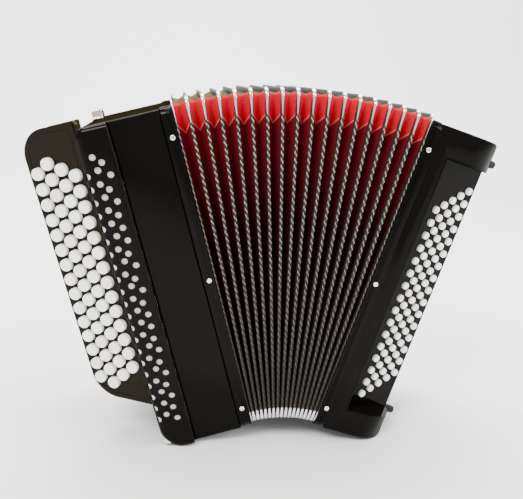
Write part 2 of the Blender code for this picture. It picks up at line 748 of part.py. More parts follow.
def strap_curve(offset):
    """The hand strap's run in the plane of x and z, from its lower end to its upper end."""
    points = []
    for i in range(15):
        share = i / 14
        bulge = STRAP_BULGE * math.sin(math.pi * share) ** 0.75
        z = STRAP_LOW + (STRAP_HIGH - STRAP_LOW) * share
        points.append((BASS_WIDTH + CLEARANCE + bulge + offset, z))
    return points


def make_bass_end(half):
    """The end cover and what is fastened to it: feet, hand strap, adjuster wheel and air valve."""
    outer = BASS_WIDTH
    far = CASE_DEPTH - END_COVER_MARGIN
    span = (END_COVER_RIM, CASE_HEIGHT - END_COVER_RIM)
    plate = box((outer - END_COVER_THICKNESS, outer), (END_COVER_FRONT, far), span)
    hole_radius = (AIR_BUTTON_RADIUS + BUTTON_PLAY) / math.cos(math.pi / 12)
    button_hole = circle(AIR_BUTTON_Y, AIR_BUTTON_Z, hole_radius, 12)
    vent = circle(AIR_BUTTON_Y, AIR_BUTTON_Z - AIR_VALVE_DROP, AIR_VENT_RADIUS, 12)
    holes = together([prism(button_hole, "x", 0, 2 * BIG), prism(vent, "x", 0, 2 * BIG)])
    piece("bass_end_cover", combine(plate, "DIFFERENCE", holes), PLASTIC_BLACK, half)

    inset = FOOT_INSET
    places = []
    for y in (END_COVER_FRONT + inset, far - inset):
        places += [(y, span[0] + inset), (y, span[1] - inset)]
    for number, (y, z) in enumerate(places, 1):
        foot = prism(circle(y, z, FOOT_RADIUS, 12), "x", outer + CLEARANCE, outer + FOOT_LENGTH)
        piece(f"bass_foot_{number}", foot, RUBBER, half, (outer, y, z), smooth=True)

    edges = (STRAP_CENTRE_Y - STRAP_WIDTH / 2, STRAP_CENTRE_Y + STRAP_WIDTH / 2)
    outline = strap_curve(0) + strap_curve(STRAP_THICKNESS)[::-1]
    piece("bass_hand_strap", prism(outline, "y", *edges), LEATHER, half)
    bracket_top = STRAP_HIGH + CLEARANCE + STRAP_BRACKET_HEIGHT
    deep = (edges[0] - STRAP_BRACKET_SIDE, edges[1] + STRAP_BRACKET_SIDE)
    reach = (outer + CLEARANCE, outer + STRAP_BRACKET_REACH)
    bracket = box(reach, deep, (STRAP_HIGH + CLEARANCE, bracket_top))
    piece("hand_strap_bracket", bracket, CHROME, half)
    centre = (outer + 2 * CLEARANCE + WHEEL_RADIUS, STRAP_CENTRE_Y, bracket_top + CLEARANCE)
    wheel = prism(circle(centre[0], centre[1], WHEEL_RADIUS, 16), "z", centre[2], centre[2] + WHEEL_HEIGHT)
    piece("strap_adjuster_wheel", wheel, CHROME, half, centre, smooth=True)

    inner = outer - END_COVER_THICKNESS
    round_face = circle(AIR_BUTTON_Y, AIR_BUTTON_Z, AIR_BUTTON_RADIUS, 12)
    knob = prism(round_face, "x", inner - AIR_BUTTON_STEM, outer + AIR_BUTTON_PROUD)
    piece("air_button", knob, BUTTON_WHITE, half, (outer, AIR_BUTTON_Y, AIR_BUTTON_Z), smooth=True)
    seat = inner - CLEARANCE
    z = AIR_BUTTON_Z - AIR_VALVE_DROP
    valve = prism(circle(AIR_BUTTON_Y, z, AIR_VALVE_RADIUS, 12), "x", seat - AIR_VALVE_THICKNESS, seat)
    piece("air_valve", valve, PALLET_GREY, half, (seat, AIR_BUTTON_Y, z), smooth=True)


def make_treble_half(root, lean):
    half = leaning("treble_half", root, -lean)
    make_treble_case(half)
    make_treble_soundboard(half)
    deep = (SOUNDBOARD_Y + SOUNDBOARD_THICKNESS + CLEARANCE, REED_BLOCK_BACK)
    high = (REED_BLOCK_MARGIN, CASE_HEIGHT - REED_BLOCK_MARGIN)
    for number, centre in enumerate(REED_BLOCK_CENTRES, 1):
        across = (centre - REED_BLOCK_WIDTH / 2, centre + REED_BLOCK_WIDTH / 2)
        make_reed_block(f"treble_reed_block_{number}", half, across, deep, high, TREBLE_REED_CELLS)
    make_bellows_frame("bellows_frame_treble", half, -1)
    make_front_cover(half)
    make_grille(half)
    make_grille_cloth(half)
    make_back_cover(half)
    make_strap_brackets(half)
    for row in range(len(TREBLE_ROWS)):
        make_pallet_row(row, half)
    board = empty("keyboard_board", half, (KEYBOARD_X, KEYBOARD_Y, 0), (0, 0, -KEYBOARD_TILT))
    make_deck(board)
    depth = DECK_THICKNESS + RAIL_PLAY
    size = (TREBLE_BUTTON_RADIUS, TREBLE_BUTTON_PROUD, TREBLE_BUTTON_SIDES)
    for row in range(len(TREBLE_ROWS)):
        name = f"treble_buttons_row_{row + 1}"
        heights = treble_row_heights(row)
        across = TREBLE_ROW_STEP * row
        make_button_row(name, board, across, heights, size, depth)


def make_bass_half(root, lean, hub):
    half = leaning("bass_half", root, lean, hub)
    make_bass_case(half)
    make_bellows_frame("bellows_frame_bass", half, 1)
    make_bass_board(half)
    make_bass_soundboard(half)
    base = BASS_SOUNDBOARD_X + SOUNDBOARD_THICKNESS + CLEARANCE
    high = (REED_BLOCK_MARGIN, CASE_HEIGHT - REED_BLOCK_MARGIN)
    across = (base + BASS_BLOCK_REACH, base)
    make_reed_block("bass_reed_block", half, across, BASS_BLOCK_Y, high, BASS_REED_CELLS)
    make_bass_end(half)
    board = empty("bass_board", half, (BOARD_X, BOARD_Y, 0), (0, 0, BOARD_TILT))
    depth = BOARD_THICKNESS + RAIL_PLAY
    size = (BASS_BUTTON_RADIUS, BASS_BUTTON_PROUD, BASS_BUTTON_SIDES)
    for row in range(BASS_ROWS):
        name = f"bass_buttons_row_{row + 1}"
        heights = bass_row_heights(row)
        across = BASS_ROW_STEP * row
        make_button_row(name, board, across, heights, size, depth)


def centre_on_floor(root):
    """Moves the whole instrument so that the middle of its box's underside is the origin."""
    bpy.context.view_layer.update()
    points = []
    for made in bpy.data.objects:
        if made.type == "MESH":
            points += [made.matrix_world @ vertex.co for vertex in made.data.vertices]
    low = [min(point[i] for point in points) for i in range(3)]
    high = [max(point[i] for point in points) for i in range(3)]
    root.location = (-(low[0] + high[0]) / 2, -(low[1] + high[1]) / 2, -low[2])


def main():
    remove_everything()
    root = empty("accordion")
    lean = treble_lean()
    fan = Matrix.Translation((0, 0, -FAN_DROP))
    hub = fan @ Matrix.Rotation(-lean, 4, "Y") @ fan.inverted() @ pivot()
    make_treble_half(root, lean)
    for index in range(1, FOLDS + 1):
        make_fold(index, root, FAN_ANGLE * index / (FOLDS + 1) - lean, hub)
    make_bass_half(root, FAN_ANGLE - lean, hub)
    centre_on_floor(root)


main()
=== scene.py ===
# %% [markdown]
# # A button accordion with its bellows fanned open
#
# The working model gives every piece its place and its joint. This lesson loads it as a fixed frame and
# makes the surface that one sees: glossy cases, 140 round buttons, a pierced grille and a pleated bellows.
# Each half of the instrument is modelled upright, as it would lie on a bench, and is then set into its place.

# %% Load the frame
import math
import random

import bpy
import numpy as np
from mathutils import Matrix, Vector


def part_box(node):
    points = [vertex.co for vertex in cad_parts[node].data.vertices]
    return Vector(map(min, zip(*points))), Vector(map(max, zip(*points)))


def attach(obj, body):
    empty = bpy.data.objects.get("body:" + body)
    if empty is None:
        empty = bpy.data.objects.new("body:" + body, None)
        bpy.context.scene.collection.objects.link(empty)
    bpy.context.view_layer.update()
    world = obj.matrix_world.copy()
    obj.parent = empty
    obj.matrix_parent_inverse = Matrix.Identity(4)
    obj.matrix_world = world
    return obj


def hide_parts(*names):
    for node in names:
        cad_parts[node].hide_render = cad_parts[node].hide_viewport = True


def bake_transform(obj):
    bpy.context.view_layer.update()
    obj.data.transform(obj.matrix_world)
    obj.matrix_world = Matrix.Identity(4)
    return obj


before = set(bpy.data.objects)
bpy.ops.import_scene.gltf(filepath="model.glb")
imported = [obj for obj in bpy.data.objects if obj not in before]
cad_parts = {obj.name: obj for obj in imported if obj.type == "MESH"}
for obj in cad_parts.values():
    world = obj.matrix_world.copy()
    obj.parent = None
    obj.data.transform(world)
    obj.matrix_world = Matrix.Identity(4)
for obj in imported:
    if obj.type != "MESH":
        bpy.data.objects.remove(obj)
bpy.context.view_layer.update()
random.seed(7)

# %% [markdown]
# ## The camera
#
# The viewer stands a little to the left and looks down on the front at a gentle angle, with a slight roll.
# A camera starts out looking straight down, so it is tilted up, turned, and rolled about its line of sight.

# %% Place the camera
CAMERA_PLACE = (-0.1177, -0.8444, 0.4282)
CAMERA_TURN = math.radians(7.72)
CAMERA_DROP = math.radians(13.81)
CAMERA_ROLL = math.radians(3.66)
CAMERA_LENS = 47.86

aim = (
    Matrix.Rotation(-CAMERA_TURN, 4, "Z")
    @ Matrix.Rotation(math.pi / 2 - CAMERA_DROP, 4, "X")
    @ Matrix.Rotation(CAMERA_ROLL, 4, "Z")
)
lens = bpy.data.cameras.new("camera")
lens.lens = CAMERA_LENS
camera = bpy.data.objects.new("camera", lens)
camera.matrix_world = Matrix.Translation(CAMERA_PLACE) @ aim
bpy.context.scene.collection.objects.link(camera)
bpy.context.scene.camera = camera
print("camera: lens", CAMERA_LENS, "mm")

# %% [markdown]
# ## Floor and light
#
# A pale sweep of paper runs under the instrument and up behind it, so no horizon shows. Black gloss has no
# colour of its own and shows what stands round it, so the light comes from large soft panels: one high in
# front for the buttons, one to the right in front to fill, one overhead and a little warm for the edges, and
# one behind that lights the sweep.

# %% Make the sweep and the lights
SWEEP_HALF = 6.0
SWEEP_BACK = 2.6
SWEEP_HEIGHT = 4.0
SWEEP_BEND = 0.8


def only(piece):
    """Leaves this piece as the only one that operators work on."""
    bpy.ops.object.select_all(action="DESELECT")
    piece.select_set(True)
    bpy.context.view_layer.objects.active = piece
    return piece


def pick(piece, kind, test=lambda *points: True):
    """Goes into edit mode with the corners, edges or faces selected for which the test is true."""
    only(piece)
    bpy.ops.object.mode_set(mode="EDIT")
    bpy.ops.mesh.select_mode(type=kind)
    bpy.ops.mesh.select_all(action="DESELECT")
    bpy.ops.object.mode_set(mode="OBJECT")
    mesh = piece.data
    for item in {"VERT": mesh.vertices, "EDGE": mesh.edges, "FACE": mesh.polygons}[kind]:
        if kind == "VERT":
            item.select = test(item.co)
        elif kind == "EDGE":
            item.select = test(*[mesh.vertices[i].co for i in item.vertices])
        else:
            item.select = test(item.center, item.normal)
    bpy.ops.object.mode_set(mode="EDIT")


def done():
    bpy.ops.object.mode_set(mode="OBJECT")


def named(name):
    piece = bpy.context.object
    piece.name = name
    piece.data.name = name
    return piece


def added(name, primitive, **settings):
    """Adds one of Blender's primitives and applies its transform."""
    bpy.ops.object.select_all(action="DESELECT")
    getattr(bpy.ops.mesh, f"primitive_{primitive}_add")(**settings)
    bpy.ops.object.transform_apply(location=True, rotation=True, scale=True)
    return named(name)


def round_edges(piece, radius, segments, test):
    """Rounds the edges whose two ends pass the test."""
    pick(piece, "EDGE", test)
    bpy.ops.mesh.bevel(offset=radius, segments=segments, profile=0.5, affect="EDGES")
    done()


sweep = added("paper_sweep", "plane", size=2 * SWEEP_HALF, location=(0, SWEEP_BACK - SWEEP_HALF, 0))
pick(sweep, "EDGE", lambda a, b: a.y > SWEEP_BACK - 0.01 and b.y > SWEEP_BACK - 0.01)
bpy.ops.mesh.extrude_region_move(TRANSFORM_OT_translate={"value": (0, 0, SWEEP_HEIGHT)})
done()
round_edges(sweep, SWEEP_BEND, 16, lambda a, b: min(a.y, b.y) > SWEEP_BACK - 0.01 and max(a.z, b.z) < 0.01)
bpy.ops.object.shade_smooth()


def panel(name, place, target, size, power, colour):
    """A soft square light that faces its target."""
    light = bpy.data.lights.new(name, "AREA")
    light.shape = "RECTANGLE"
    light.size, light.size_y = size
    light.energy = power
    light.color = colour
    holder = bpy.data.objects.new(name, light)
    away = Vector(place) - Vector(target)
    holder.matrix_world = Matrix.Translation(place) @ away.to_track_quat("Z", "Y").to_matrix().to_4x4()
    bpy.context.scene.collection.objects.link(holder)


MIDDLE = (0, 0, 0.2)
panel("key_light", (-1.3, -1.7, 2.3), MIDDLE, (1.2, 0.9), 115, (1.0, 0.98, 0.95))
panel("fill_light", (1.9, -1.3, 1.5), MIDDLE, (1.0, 1.2), 48, (1.0, 1.0, 1.0))
panel("top_light", (0.1, 0.3, 2.2), MIDDLE, (1.8, 1.0), 70, (1.0, 0.96, 0.9))
panel("sweep_light", (0, 0.9, 2.9), (0, 2.6, 0.9), (3.2, 0.8), 260, (1.0, 1.0, 1.0))
world = bpy.data.worlds.new("studio")
world.use_nodes = True
world.node_tree.nodes["Background"].inputs["Color"].default_value = (1.0, 1.0, 1.0, 1)
world.node_tree.nodes["Background"].inputs["Strength"].default_value = 1.1
bpy.context.scene.world = world

# %% [markdown]
# ## Groups for the finishes
#
# Four effects come back in most finishes, so each is one node group. **Handling** gives uneven gloss, as
# fingers and polishing cloths leave it. **Weave** crosses two sets of threads, and its shade paints the gaps
# between them darker, as painted shade. **Leather** makes pebbles of uneven size, and **Grain** stretches
# noise along the length of a board.

# %% Build the node groups


def new_group(name, inputs, outputs):
    """An empty node group with float inputs, given as (name, value), and named float outputs."""
    group = bpy.data.node_groups.new(name, "ShaderNodeTree")
    for title, value in inputs:
        socket = group.interface.new_socket(title, in_out="INPUT", socket_type="NodeSocketFloat")
        socket.default_value = value
    for title in outputs:
        group.interface.new_socket(title, in_out="OUTPUT", socket_type="NodeSocketFloat")
    group.nodes.new("NodeGroupInput").name = "in"
    group.nodes.new("NodeGroupOutput").name = "out"
    return group


def node(tree, kind, settings=(), wires=()):
    """A shader node with its settings, and with its inputs set to values or wired to other sockets."""
    made = tree.nodes.new("ShaderNode" + kind)
    for key, value in dict(settings).items():
        setattr(made, key, value)
    for key, value in dict(wires).items():
        if isinstance(value, bpy.types.NodeSocket):
            tree.links.new(value, made.inputs[key])
        else:
            made.inputs[key].default_value = value
    return made


def in_of(tree, title):
    return tree.nodes["in"].outputs[title]


def put_out(tree, title, socket):
    tree.links.new(socket, tree.nodes["out"].inputs[title])


def remap(tree, value, low, high, first=0.0, last=1.0):
    """Maps the range from low to high onto the range from first to last."""
    return node(tree, "MapRange", {}, {0: value, 1: low, 2: high, 3: first, 4: last}).outputs[0]


def spread(tree, value, low, high):
    """Maps noise, which stays near a half, onto the range from low to high."""
    return remap(tree, value, 0.3, 0.7, low, high)


def sums(tree, operation, *values):
    return node(tree, "Math", {"operation": operation}, enumerate(values)).outputs[0]


def mixed(tree, share, first, second):
    """Mixes two colours, each given as three numbers or as a socket."""
    ends = [(*end, 1) if isinstance(end, tuple) else end for end in (first, second)]
    return node(tree, "Mix", {"data_type": "RGBA"}, {0: share, 6: ends[0], 7: ends[1]}).outputs[2]


handling = new_group("handling", [("Scale", 40.0), ("Low", 0.08), ("High", 0.2)], ["Roughness", "Height"])
place = node(handling, "TexCoord").outputs["Object"]
smear = node(handling, "TexNoise", {}, {"Vector": place, "Scale": in_of(handling, "Scale"), "Detail": 4.0})
uneven = spread(handling, smear.outputs[0], in_of(handling, "Low"), in_of(handling, "High"))
put_out(handling, "Roughness", uneven)
ripple = node(handling, "TexNoise", {}, {"Vector": place, "Scale": 9.0, "Detail": 1.0})
put_out(handling, "Height", ripple.outputs[0])

weave = new_group("weave", [("Threads", 1500.0), ("Wobble", 0.6)], ["Height", "Shade"])
place = node(weave, "TexCoord").outputs["Object"]
bands = []
for way in ("X", "Z"):
    thread = node(
        weave, "TexWave", {"wave_type": "BANDS", "bands_direction": way}, {
            "Vector": place, "Scale": in_of(weave, "Threads"), "Detail": 1.0,
            "Distortion": in_of(weave, "Wobble"),
        },
    )
    bands.append(thread.outputs["Fac"])
over = sums(weave, "MAXIMUM", *bands)
put_out(weave, "Height", over)
# Painted shade: the gaps between the threads come out darker in the shade output.
put_out(weave, "Shade", remap(weave, over, 0.0, 1.0, 0.72, 1.0))

leather = new_group("leather", [("Pebbles", 900.0)], ["Height", "Shade"])
place = node(leather, "TexCoord").outputs["Object"]
pebble = node(
    leather, "TexVoronoi", {"feature": "SMOOTH_F1"},
    {"Vector": place, "Scale": in_of(leather, "Pebbles"), "Smoothness": 0.4},
).outputs["Distance"]
put_out(leather, "Height", pebble)
put_out(leather, "Shade", remap(leather, pebble, 0.0, 0.7, 1.0, 0.6))

grain = new_group("grain", [("Lines", 260.0), ("Stretch", 0.06)], ["Height", "Shade"])
place = node(grain, "TexCoord").outputs["Object"]
along = node(grain, "CombineXYZ", {}, {0: 1.0, 1: 1.0, 2: in_of(grain, "Stretch")}).outputs[0]
drawn = node(grain, "VectorMath", {"operation": "MULTIPLY"}, {0: place, 1: along}).outputs[0]
fibre = node(grain, "TexNoise", {}, {"Vector": drawn, "Scale": in_of(grain, "Lines"), "Detail": 5.0})
put_out(grain, "Height", fibre.outputs[0])
put_out(grain, "Shade", spread(grain, fibre.outputs[0], 0.0, 1.0))
print("groups:", [group.name for group in bpy.data.node_groups])

# %% [markdown]
# ## The finishes
#
# A finish is one material. Each starts from a plain principled shader, takes its own numbers, and then a
# group for its detail. The black of the cases is almost colourless and leans a little warm. At a glancing
# angle its colour turns to a warm olive-brown, a painted sheen in place of reflected light, and it keeps its
# specular level low so that the fronts stay deep.

# %% Make the materials


def finish(name, colour, roughness, metallic=0.0, specular=0.5, coat=0.0):
    look = bpy.data.materials.new(name)
    look.use_nodes = True
    shader = look.node_tree.nodes["Principled BSDF"]
    values = {
        "Base Color": (*colour, 1), "Roughness": roughness, "Metallic": metallic,
        "Specular IOR Level": specular, "Coat Weight": coat, "Coat Roughness": 0.05,
    }
    for key, value in values.items():
        shader.inputs[key].default_value = value
    return look


def use(look, group, **values):
    """Places a group in a material."""
    made = look.node_tree.nodes.new("ShaderNodeGroup")
    made.node_tree = group
    for key, value in values.items():
        made.inputs[key].default_value = value
    return made


def to_shader(look, title, socket):
    look.node_tree.links.new(socket, look.node_tree.nodes["Principled BSDF"].inputs[title])


def bump(look, height, distance, strength=1.0):
    made = node(look.node_tree, "Bump", {}, {"Height": height, "Distance": distance, "Strength": strength})
    to_shader(look, "Normal", made.outputs[0])


def two_tone(look, share, first, second):
    """Colours a finish by a share that changes over its surface."""
    to_shader(look, "Base Color", mixed(look.node_tree, share, first, second))


def glossy(name, dark, light, low, high, specular=0.06):
    """Polished celluloid, whose gloss fades at a glancing angle, where its colour turns warm brown as a
    painted sheen.
    """
    look = finish(name, dark, low, specular=specular)
    touch = use(look, handling, Scale=22.0, Low=low, High=high)
    to_shader(look, "Roughness", touch.outputs["Roughness"])
    tree = look.node_tree
    glance = remap(tree, node(tree, "LayerWeight").outputs["Facing"], 0.55, 0.85)
    to_shader(look, "Specular IOR Level", remap(tree, glance, 0.0, 1.0, specular, 0.0))
    # Painted sheen: at a glancing angle the colour goes from the dark base to the warm second colour.
    two_tone(look, glance, dark, light)
    bump(look, touch.outputs["Height"], 0.0006, 0.25)
    return look


def metal(name, colour, low, high):
    look = finish(name, colour, low, metallic=1.0)
    touch = use(look, handling, Scale=160.0, Low=low, High=high)
    to_shader(look, "Roughness", touch.outputs["Roughness"])
    two_tone(look, touch.outputs["Height"], colour, tuple(part * 0.8 for part in colour))
    return look


def timber(name, light, dark):
    look = finish(name, light, 0.6)
    lines = use(look, grain)
    two_tone(look, lines.outputs["Shade"], light, dark)
    bump(look, lines.outputs["Height"], 0.0004)
    return look


def hide(name, colour, roughness, pebbles):
    look = finish(name, colour, roughness, specular=0.3)
    skin = use(look, leather, Pebbles=pebbles)
    two_tone(look, skin.outputs["Shade"], tuple(part * 0.5 for part in colour), colour)
    bump(look, skin.outputs["Height"], 0.0002, 0.6)
    return look


# The second colour of each black is its painted sheen, the warm brown it turns at a glancing angle.
CASE_BLACK = glossy("celluloid_black", (0.0022, 0.0019, 0.0015), (0.007, 0.006, 0.0025), 0.04, 0.1)
DECK_BLACK = glossy("deck_black", (0.008, 0.0055, 0.003), (0.022, 0.015, 0.008), 0.05, 0.12)
GRILLE_BLACK = glossy("grille_black", (0.0026, 0.002, 0.0016), (0.022, 0.014, 0.009), 0.06, 0.14)
BRACKET_METAL = metal("champagne_metal", (0.80, 0.64, 0.50), 0.15, 0.3)
CHROME = metal("chrome", (0.86, 0.86, 0.88), 0.05, 0.16)
STEEL = metal("bright_steel", (0.62, 0.62, 0.63), 0.2, 0.35)
ALUMINIUM = metal("brushed_aluminium", (0.70, 0.71, 0.72), 0.32, 0.5)
SPRUCE = timber("spruce", (0.70, 0.50, 0.29), (0.48, 0.29, 0.13))
STRAP_LEATHER = hide("strap_leather", (0.022, 0.018, 0.015), 0.5, 1100.0)
TAPE = hide("binding_tape", (0.018, 0.014, 0.010), 0.55, 2600.0)
RUBBER = hide("foot_rubber", (0.016, 0.016, 0.016), 0.75, 2000.0)

PEARL = finish("button_pearl", (0.86, 0.85, 0.83), 0.16, specular=0.5, coat=0.4)
cap_shade = node(PEARL.node_tree, "Attribute", {"attribute_name": "cap_shade"}).outputs["Fac"]
two_tone(PEARL, cap_shade, (0.90, 0.90, 0.88), (0.84, 0.74, 0.70))
touch = use(PEARL, handling, Scale=120.0, Low=0.1, High=0.25)
to_shader(PEARL, "Roughness", touch.outputs["Roughness"])

GRILLE_CLOTH = finish("grille_cloth", (0.92, 0.91, 0.88), 0.9, specular=0.1)
threads = use(GRILLE_CLOTH, weave, Threads=700.0)
# Painted shade: the gaps of the weave are darker.
two_tone(GRILLE_CLOTH, threads.outputs["Shade"], (0.62, 0.60, 0.57), (0.95, 0.94, 0.92))
bump(GRILLE_CLOTH, threads.outputs["Height"], 0.0003)

THREAD = finish("trim_thread", (0.42, 0.38, 0.31), 0.35, metallic=0.3)
tree = THREAD.node_tree
# Painted shade: the thread is darker towards the bottom, nearly black below 8 cm and its full colour above 34
# cm.
height = node(tree, "SeparateXYZ", {}, {0: node(tree, "TexCoord").outputs["Object"]}).outputs[2]
two_tone(THREAD, remap(tree, height, 0.08, 0.34), (0.035, 0.030, 0.026), (0.32, 0.26, 0.22))
twist = use(THREAD, handling, Scale=900.0, Low=0.25, High=0.5)
to_shader(THREAD, "Roughness", twist.outputs["Roughness"])
print("finishes:", len(bpy.data.materials))

# %% [markdown]
# ## The frame of each half
#
# The flat ring that closes each end of the bellows shows how its half leans: the direction in which it is
# thinnest is the half's own x. From the two rings come two matrices, one for each half, and the line where
# the two bellows planes meet, which is the centre of the fan.

# %% Measure both halves
CASE_HEIGHT = 0.386
CASE_DEPTH = 0.180
FRAME_LIP = 0.0015
FOLDS = 16


def half_frame(node_name, side):
    """(matrix, lean) of the half whose end ring this is. side is -1 for the treble and 1 for the bass."""
    points = np.unique(np.round([v.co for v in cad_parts[node_name].data.vertices], 5), axis=0)
    spread_out = points - (points.max(0) + points.min(0)) / 2
    thin = np.linalg.svd(spread_out, full_matrices=False)[2][-1]
    thin = thin * np.sign(thin[0])
    lean = math.atan2(-thin[2], thin[0])
    turn = Matrix.Rotation(lean, 4, "Y")
    local = points @ np.array(turn.to_3x3())
    inner = local[:, 0].max() if side < 0 else local[:, 0].min()
    corner = Vector((inner, local[:, 1].min() + FRAME_LIP, local[:, 2].min() + FRAME_LIP))
    return Matrix.Translation(turn @ corner) @ turn, lean


TREBLE, treble_lean = half_frame("bellows_frame_treble", -1)
BASS, bass_lean = half_frame("bellows_frame_bass", 1)
across = BASS.translation - TREBLE.translation
up_treble = TREBLE.to_3x3() @ Vector((0, 0, 1))
up_bass = BASS.to_3x3() @ Vector((0, 0, 1))
meeting = (across.x * up_bass.z - across.z * up_bass.x) / (up_treble.x * up_bass.z - up_treble.z * up_bass.x)
FAN_DROP = -meeting
FAN_CENTRE = TREBLE @ Vector((0, 0, -FAN_DROP))


def fold_place(share):
    """The matrix of a fold's plane. share runs from 0 at the treble half to 1 at the bass half."""
    angle = treble_lean + (bass_lean - treble_lean) * share
    rise = Matrix.Translation((0, 0, FAN_DROP))
    return Matrix.Translation(FAN_CENTRE) @ Matrix.Rotation(angle, 4, "Y") @ rise


leans = [round(math.degrees(lean), 2) for lean in (treble_lean, bass_lean)]
print("lean:", leans, "fan drop:", round(FAN_DROP, 4))

# %% [markdown]
# ## Bench tools
#
# A few moves come back with every piece: add a block or a rod at its size, cut one shape with another,
# hollow it out, soften its edges so that they catch light, and set the finished piece in its half. Setting
# it also ties it to its body, hides the worked shapes that it stands for, and prints how far its box is
# from their box.

# %% Define the bench tools
HAIR = 1e-5
FAR = 0.1


def block(name, x, y, z):
    """A box between three pairs of limits."""
    limits = [sorted(pair) for pair in (x, y, z)]
    middle, size = [sum(pair) / 2 for pair in limits], [pair[1] - pair[0] for pair in limits]
    return added(name, "cube", size=1, location=middle, scale=size)


def rod(name, axis, centre, low, high, radius, sides=24):
    """A cylinder along x, y or z between two limits. centre is its place on the two other axes."""
    where = list(centre)
    where.insert("xyz".index(axis), (low + high) / 2)
    turn = {"x": (0, math.pi / 2, 0), "y": (math.pi / 2, 0, 0), "z": (0, 0, 0)}[axis]
    depth = abs(high - low)
    return added(name, "cylinder", vertices=sides, radius=radius, depth=depth, location=where, rotation=turn)


def apply(piece, kind, **settings):
    """Adds a modifier and applies it."""
    only(piece)
    step = piece.modifiers.new(kind, kind)
    for key, value in settings.items():
        setattr(step, key, value)
    bpy.ops.object.modifier_apply(modifier=step.name)
    return piece


def combine(piece, other, operation="DIFFERENCE", crossing=False):
    """Cuts, crosses or adds the other shape, and uses it up. crossing is for a shape whose parts overlap."""
    apply(piece, "BOOLEAN", operation=operation, solver="EXACT", object=other, use_self=crossing)
    bpy.data.objects.remove(other)
    return piece


def join(pieces, name):
    bpy.ops.object.select_all(action="DESELECT")
    for piece in pieces:
        piece.select_set(True)
    bpy.context.view_layer.objects.active = pieces[0]
    if len(pieces) > 1:
        bpy.ops.object.join()
    return named(name)


def copy_of(piece, name, place=None):
    """A copy with its own mesh, moved by a matrix."""
    made = bpy.data.objects.new(name, piece.data.copy())
    bpy.context.scene.collection.objects.link(made)
    if place is not None:
        made.data.transform(place)
    return made


def soften(piece, width, segments=2, angle=35):
    """Breaks every sharp edge by a small round."""
    apply(
        piece, "BEVEL", width=width, segments=segments, limit_method="ANGLE",
        angle_limit=math.radians(angle), use_clamp_overlap=True, miter_outer="MITER_ARC",
    )
    return piece


def smooth(piece, angle=35):
    only(piece)
    bpy.ops.object.shade_smooth_by_angle(angle=math.radians(angle), keep_sharp_edges=False)


def hollow_out(piece, facing, wall, push):
    """Insets the faces that pass the test by the wall, and pushes them along y."""
    pick(piece, "FACE", facing)
    bpy.ops.mesh.inset(thickness=wall)
    bpy.ops.mesh.extrude_region_move(TRANSFORM_OT_translate={"value": (0, push, 0)})
    done()


def to_front(centre, normal):
    return normal.y < -0.99


def to_back(centre, normal):
    return normal.y > 0.99


def settle(piece, place, look, body, slot, *nodes, angle=35):
    """Sets a finished piece in its place, gives it its finish and ties it to its body."""
    piece.data.transform(place)
    if look is not None:
        piece.data.materials.clear()
        piece.data.materials.append(look)
    smooth(piece, angle)
    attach(piece, body)
    if nodes:
        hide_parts(*nodes)
        points = np.array([v.co for v in piece.data.vertices])
        boxes = np.array([[list(corner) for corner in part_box(name)] for name in nodes])
        low, high = points.min(0) - boxes[:, 0].min(0), points.max(0) - boxes[:, 1].max(0)
        off = max(np.abs(low).max(), np.abs(high).max())
        print(f"{piece.name}: {len(piece.data.polygons)} faces, box within {off * 1000:.2f} mm")
    return piece


print("tools ready")

# %% [markdown]
# ## The treble case
#
# Behind the treble soundboard sits a deep tray with a large lower corner, which rests on the player's
# thigh. A block gets its outer corners and its back edges rounded, and its front is inset and pushed in to
# leave a thin wall.

# %% Model the treble case
TREBLE_WIDTH = 0.106
FRAME_WIDTH = 0.013
CASE_WALL = 0.005
SOUNDBOARD_Y = 0.018
CASE_BACK_RADIUS = 0.004
TREBLE_TOP_RADIUS = 0.012
TREBLE_FOOT_RADIUS = 0.028
GAP = 0.0003
SEAM = -FRAME_WIDTH - GAP


def round_outer_corners(piece):
    """Rounds the treble half's two outer corners, the small upper one and the large lower one."""

    def corner(height):
        return lambda *ends: all(abs(end.x + TREBLE_WIDTH) + abs(end.z - height) < HAIR for end in ends)

    round_edges(piece, TREBLE_TOP_RADIUS, 10, corner(CASE_HEIGHT))
    round_edges(piece, TREBLE_FOOT_RADIUS, 18, corner(0))


case = block("treble_case_shell", (-TREBLE_WIDTH, SEAM), (SOUNDBOARD_Y, CASE_DEPTH), (0, CASE_HEIGHT))
round_outer_corners(case)
round_edges(case, CASE_BACK_RADIUS, 5, lambda a, b: min(a.y, b.y) > CASE_DEPTH - HAIR)
hollow_out(case, to_front, CASE_WALL, CASE_DEPTH - SOUNDBOARD_Y - CASE_WALL)
settle(case, TREBLE, CASE_BLACK, "treble", "case", "treble_case")

# %% [markdown]
# ## The front cover
#
# A shallow lid covers the pallets. It is plain and very glossy, so its softened edges are what one sees.

# %% Model the front cover
COVER_OUTER = SEAM - 0.0567
COVER_WALL = 0.003
COVER_RADIUS = 0.0025
cover = block("treble_front_cover_lid", (COVER_OUTER, SEAM), (0, SOUNDBOARD_Y - GAP), (0, CASE_HEIGHT))
round_edges(cover, COVER_RADIUS, 4, lambda a, b: max(a.y, b.y) < HAIR)
hollow_out(cover, to_back, COVER_WALL, COVER_WALL - SOUNDBOARD_Y + GAP)
settle(cover, TREBLE, CASE_BLACK, "treble", "case", "treble_front_cover")

# %% [markdown]
# ## The grille
#
# The grille lets the treble reeds speak. It stands proud of the front cover, its outer edge rolls over
# in a wide round, and its side is open to the cover and the keyboard. Three waving columns of round holes
# are drilled in it, the outer one slantwise through the roll, by one Boolean for all the drills.

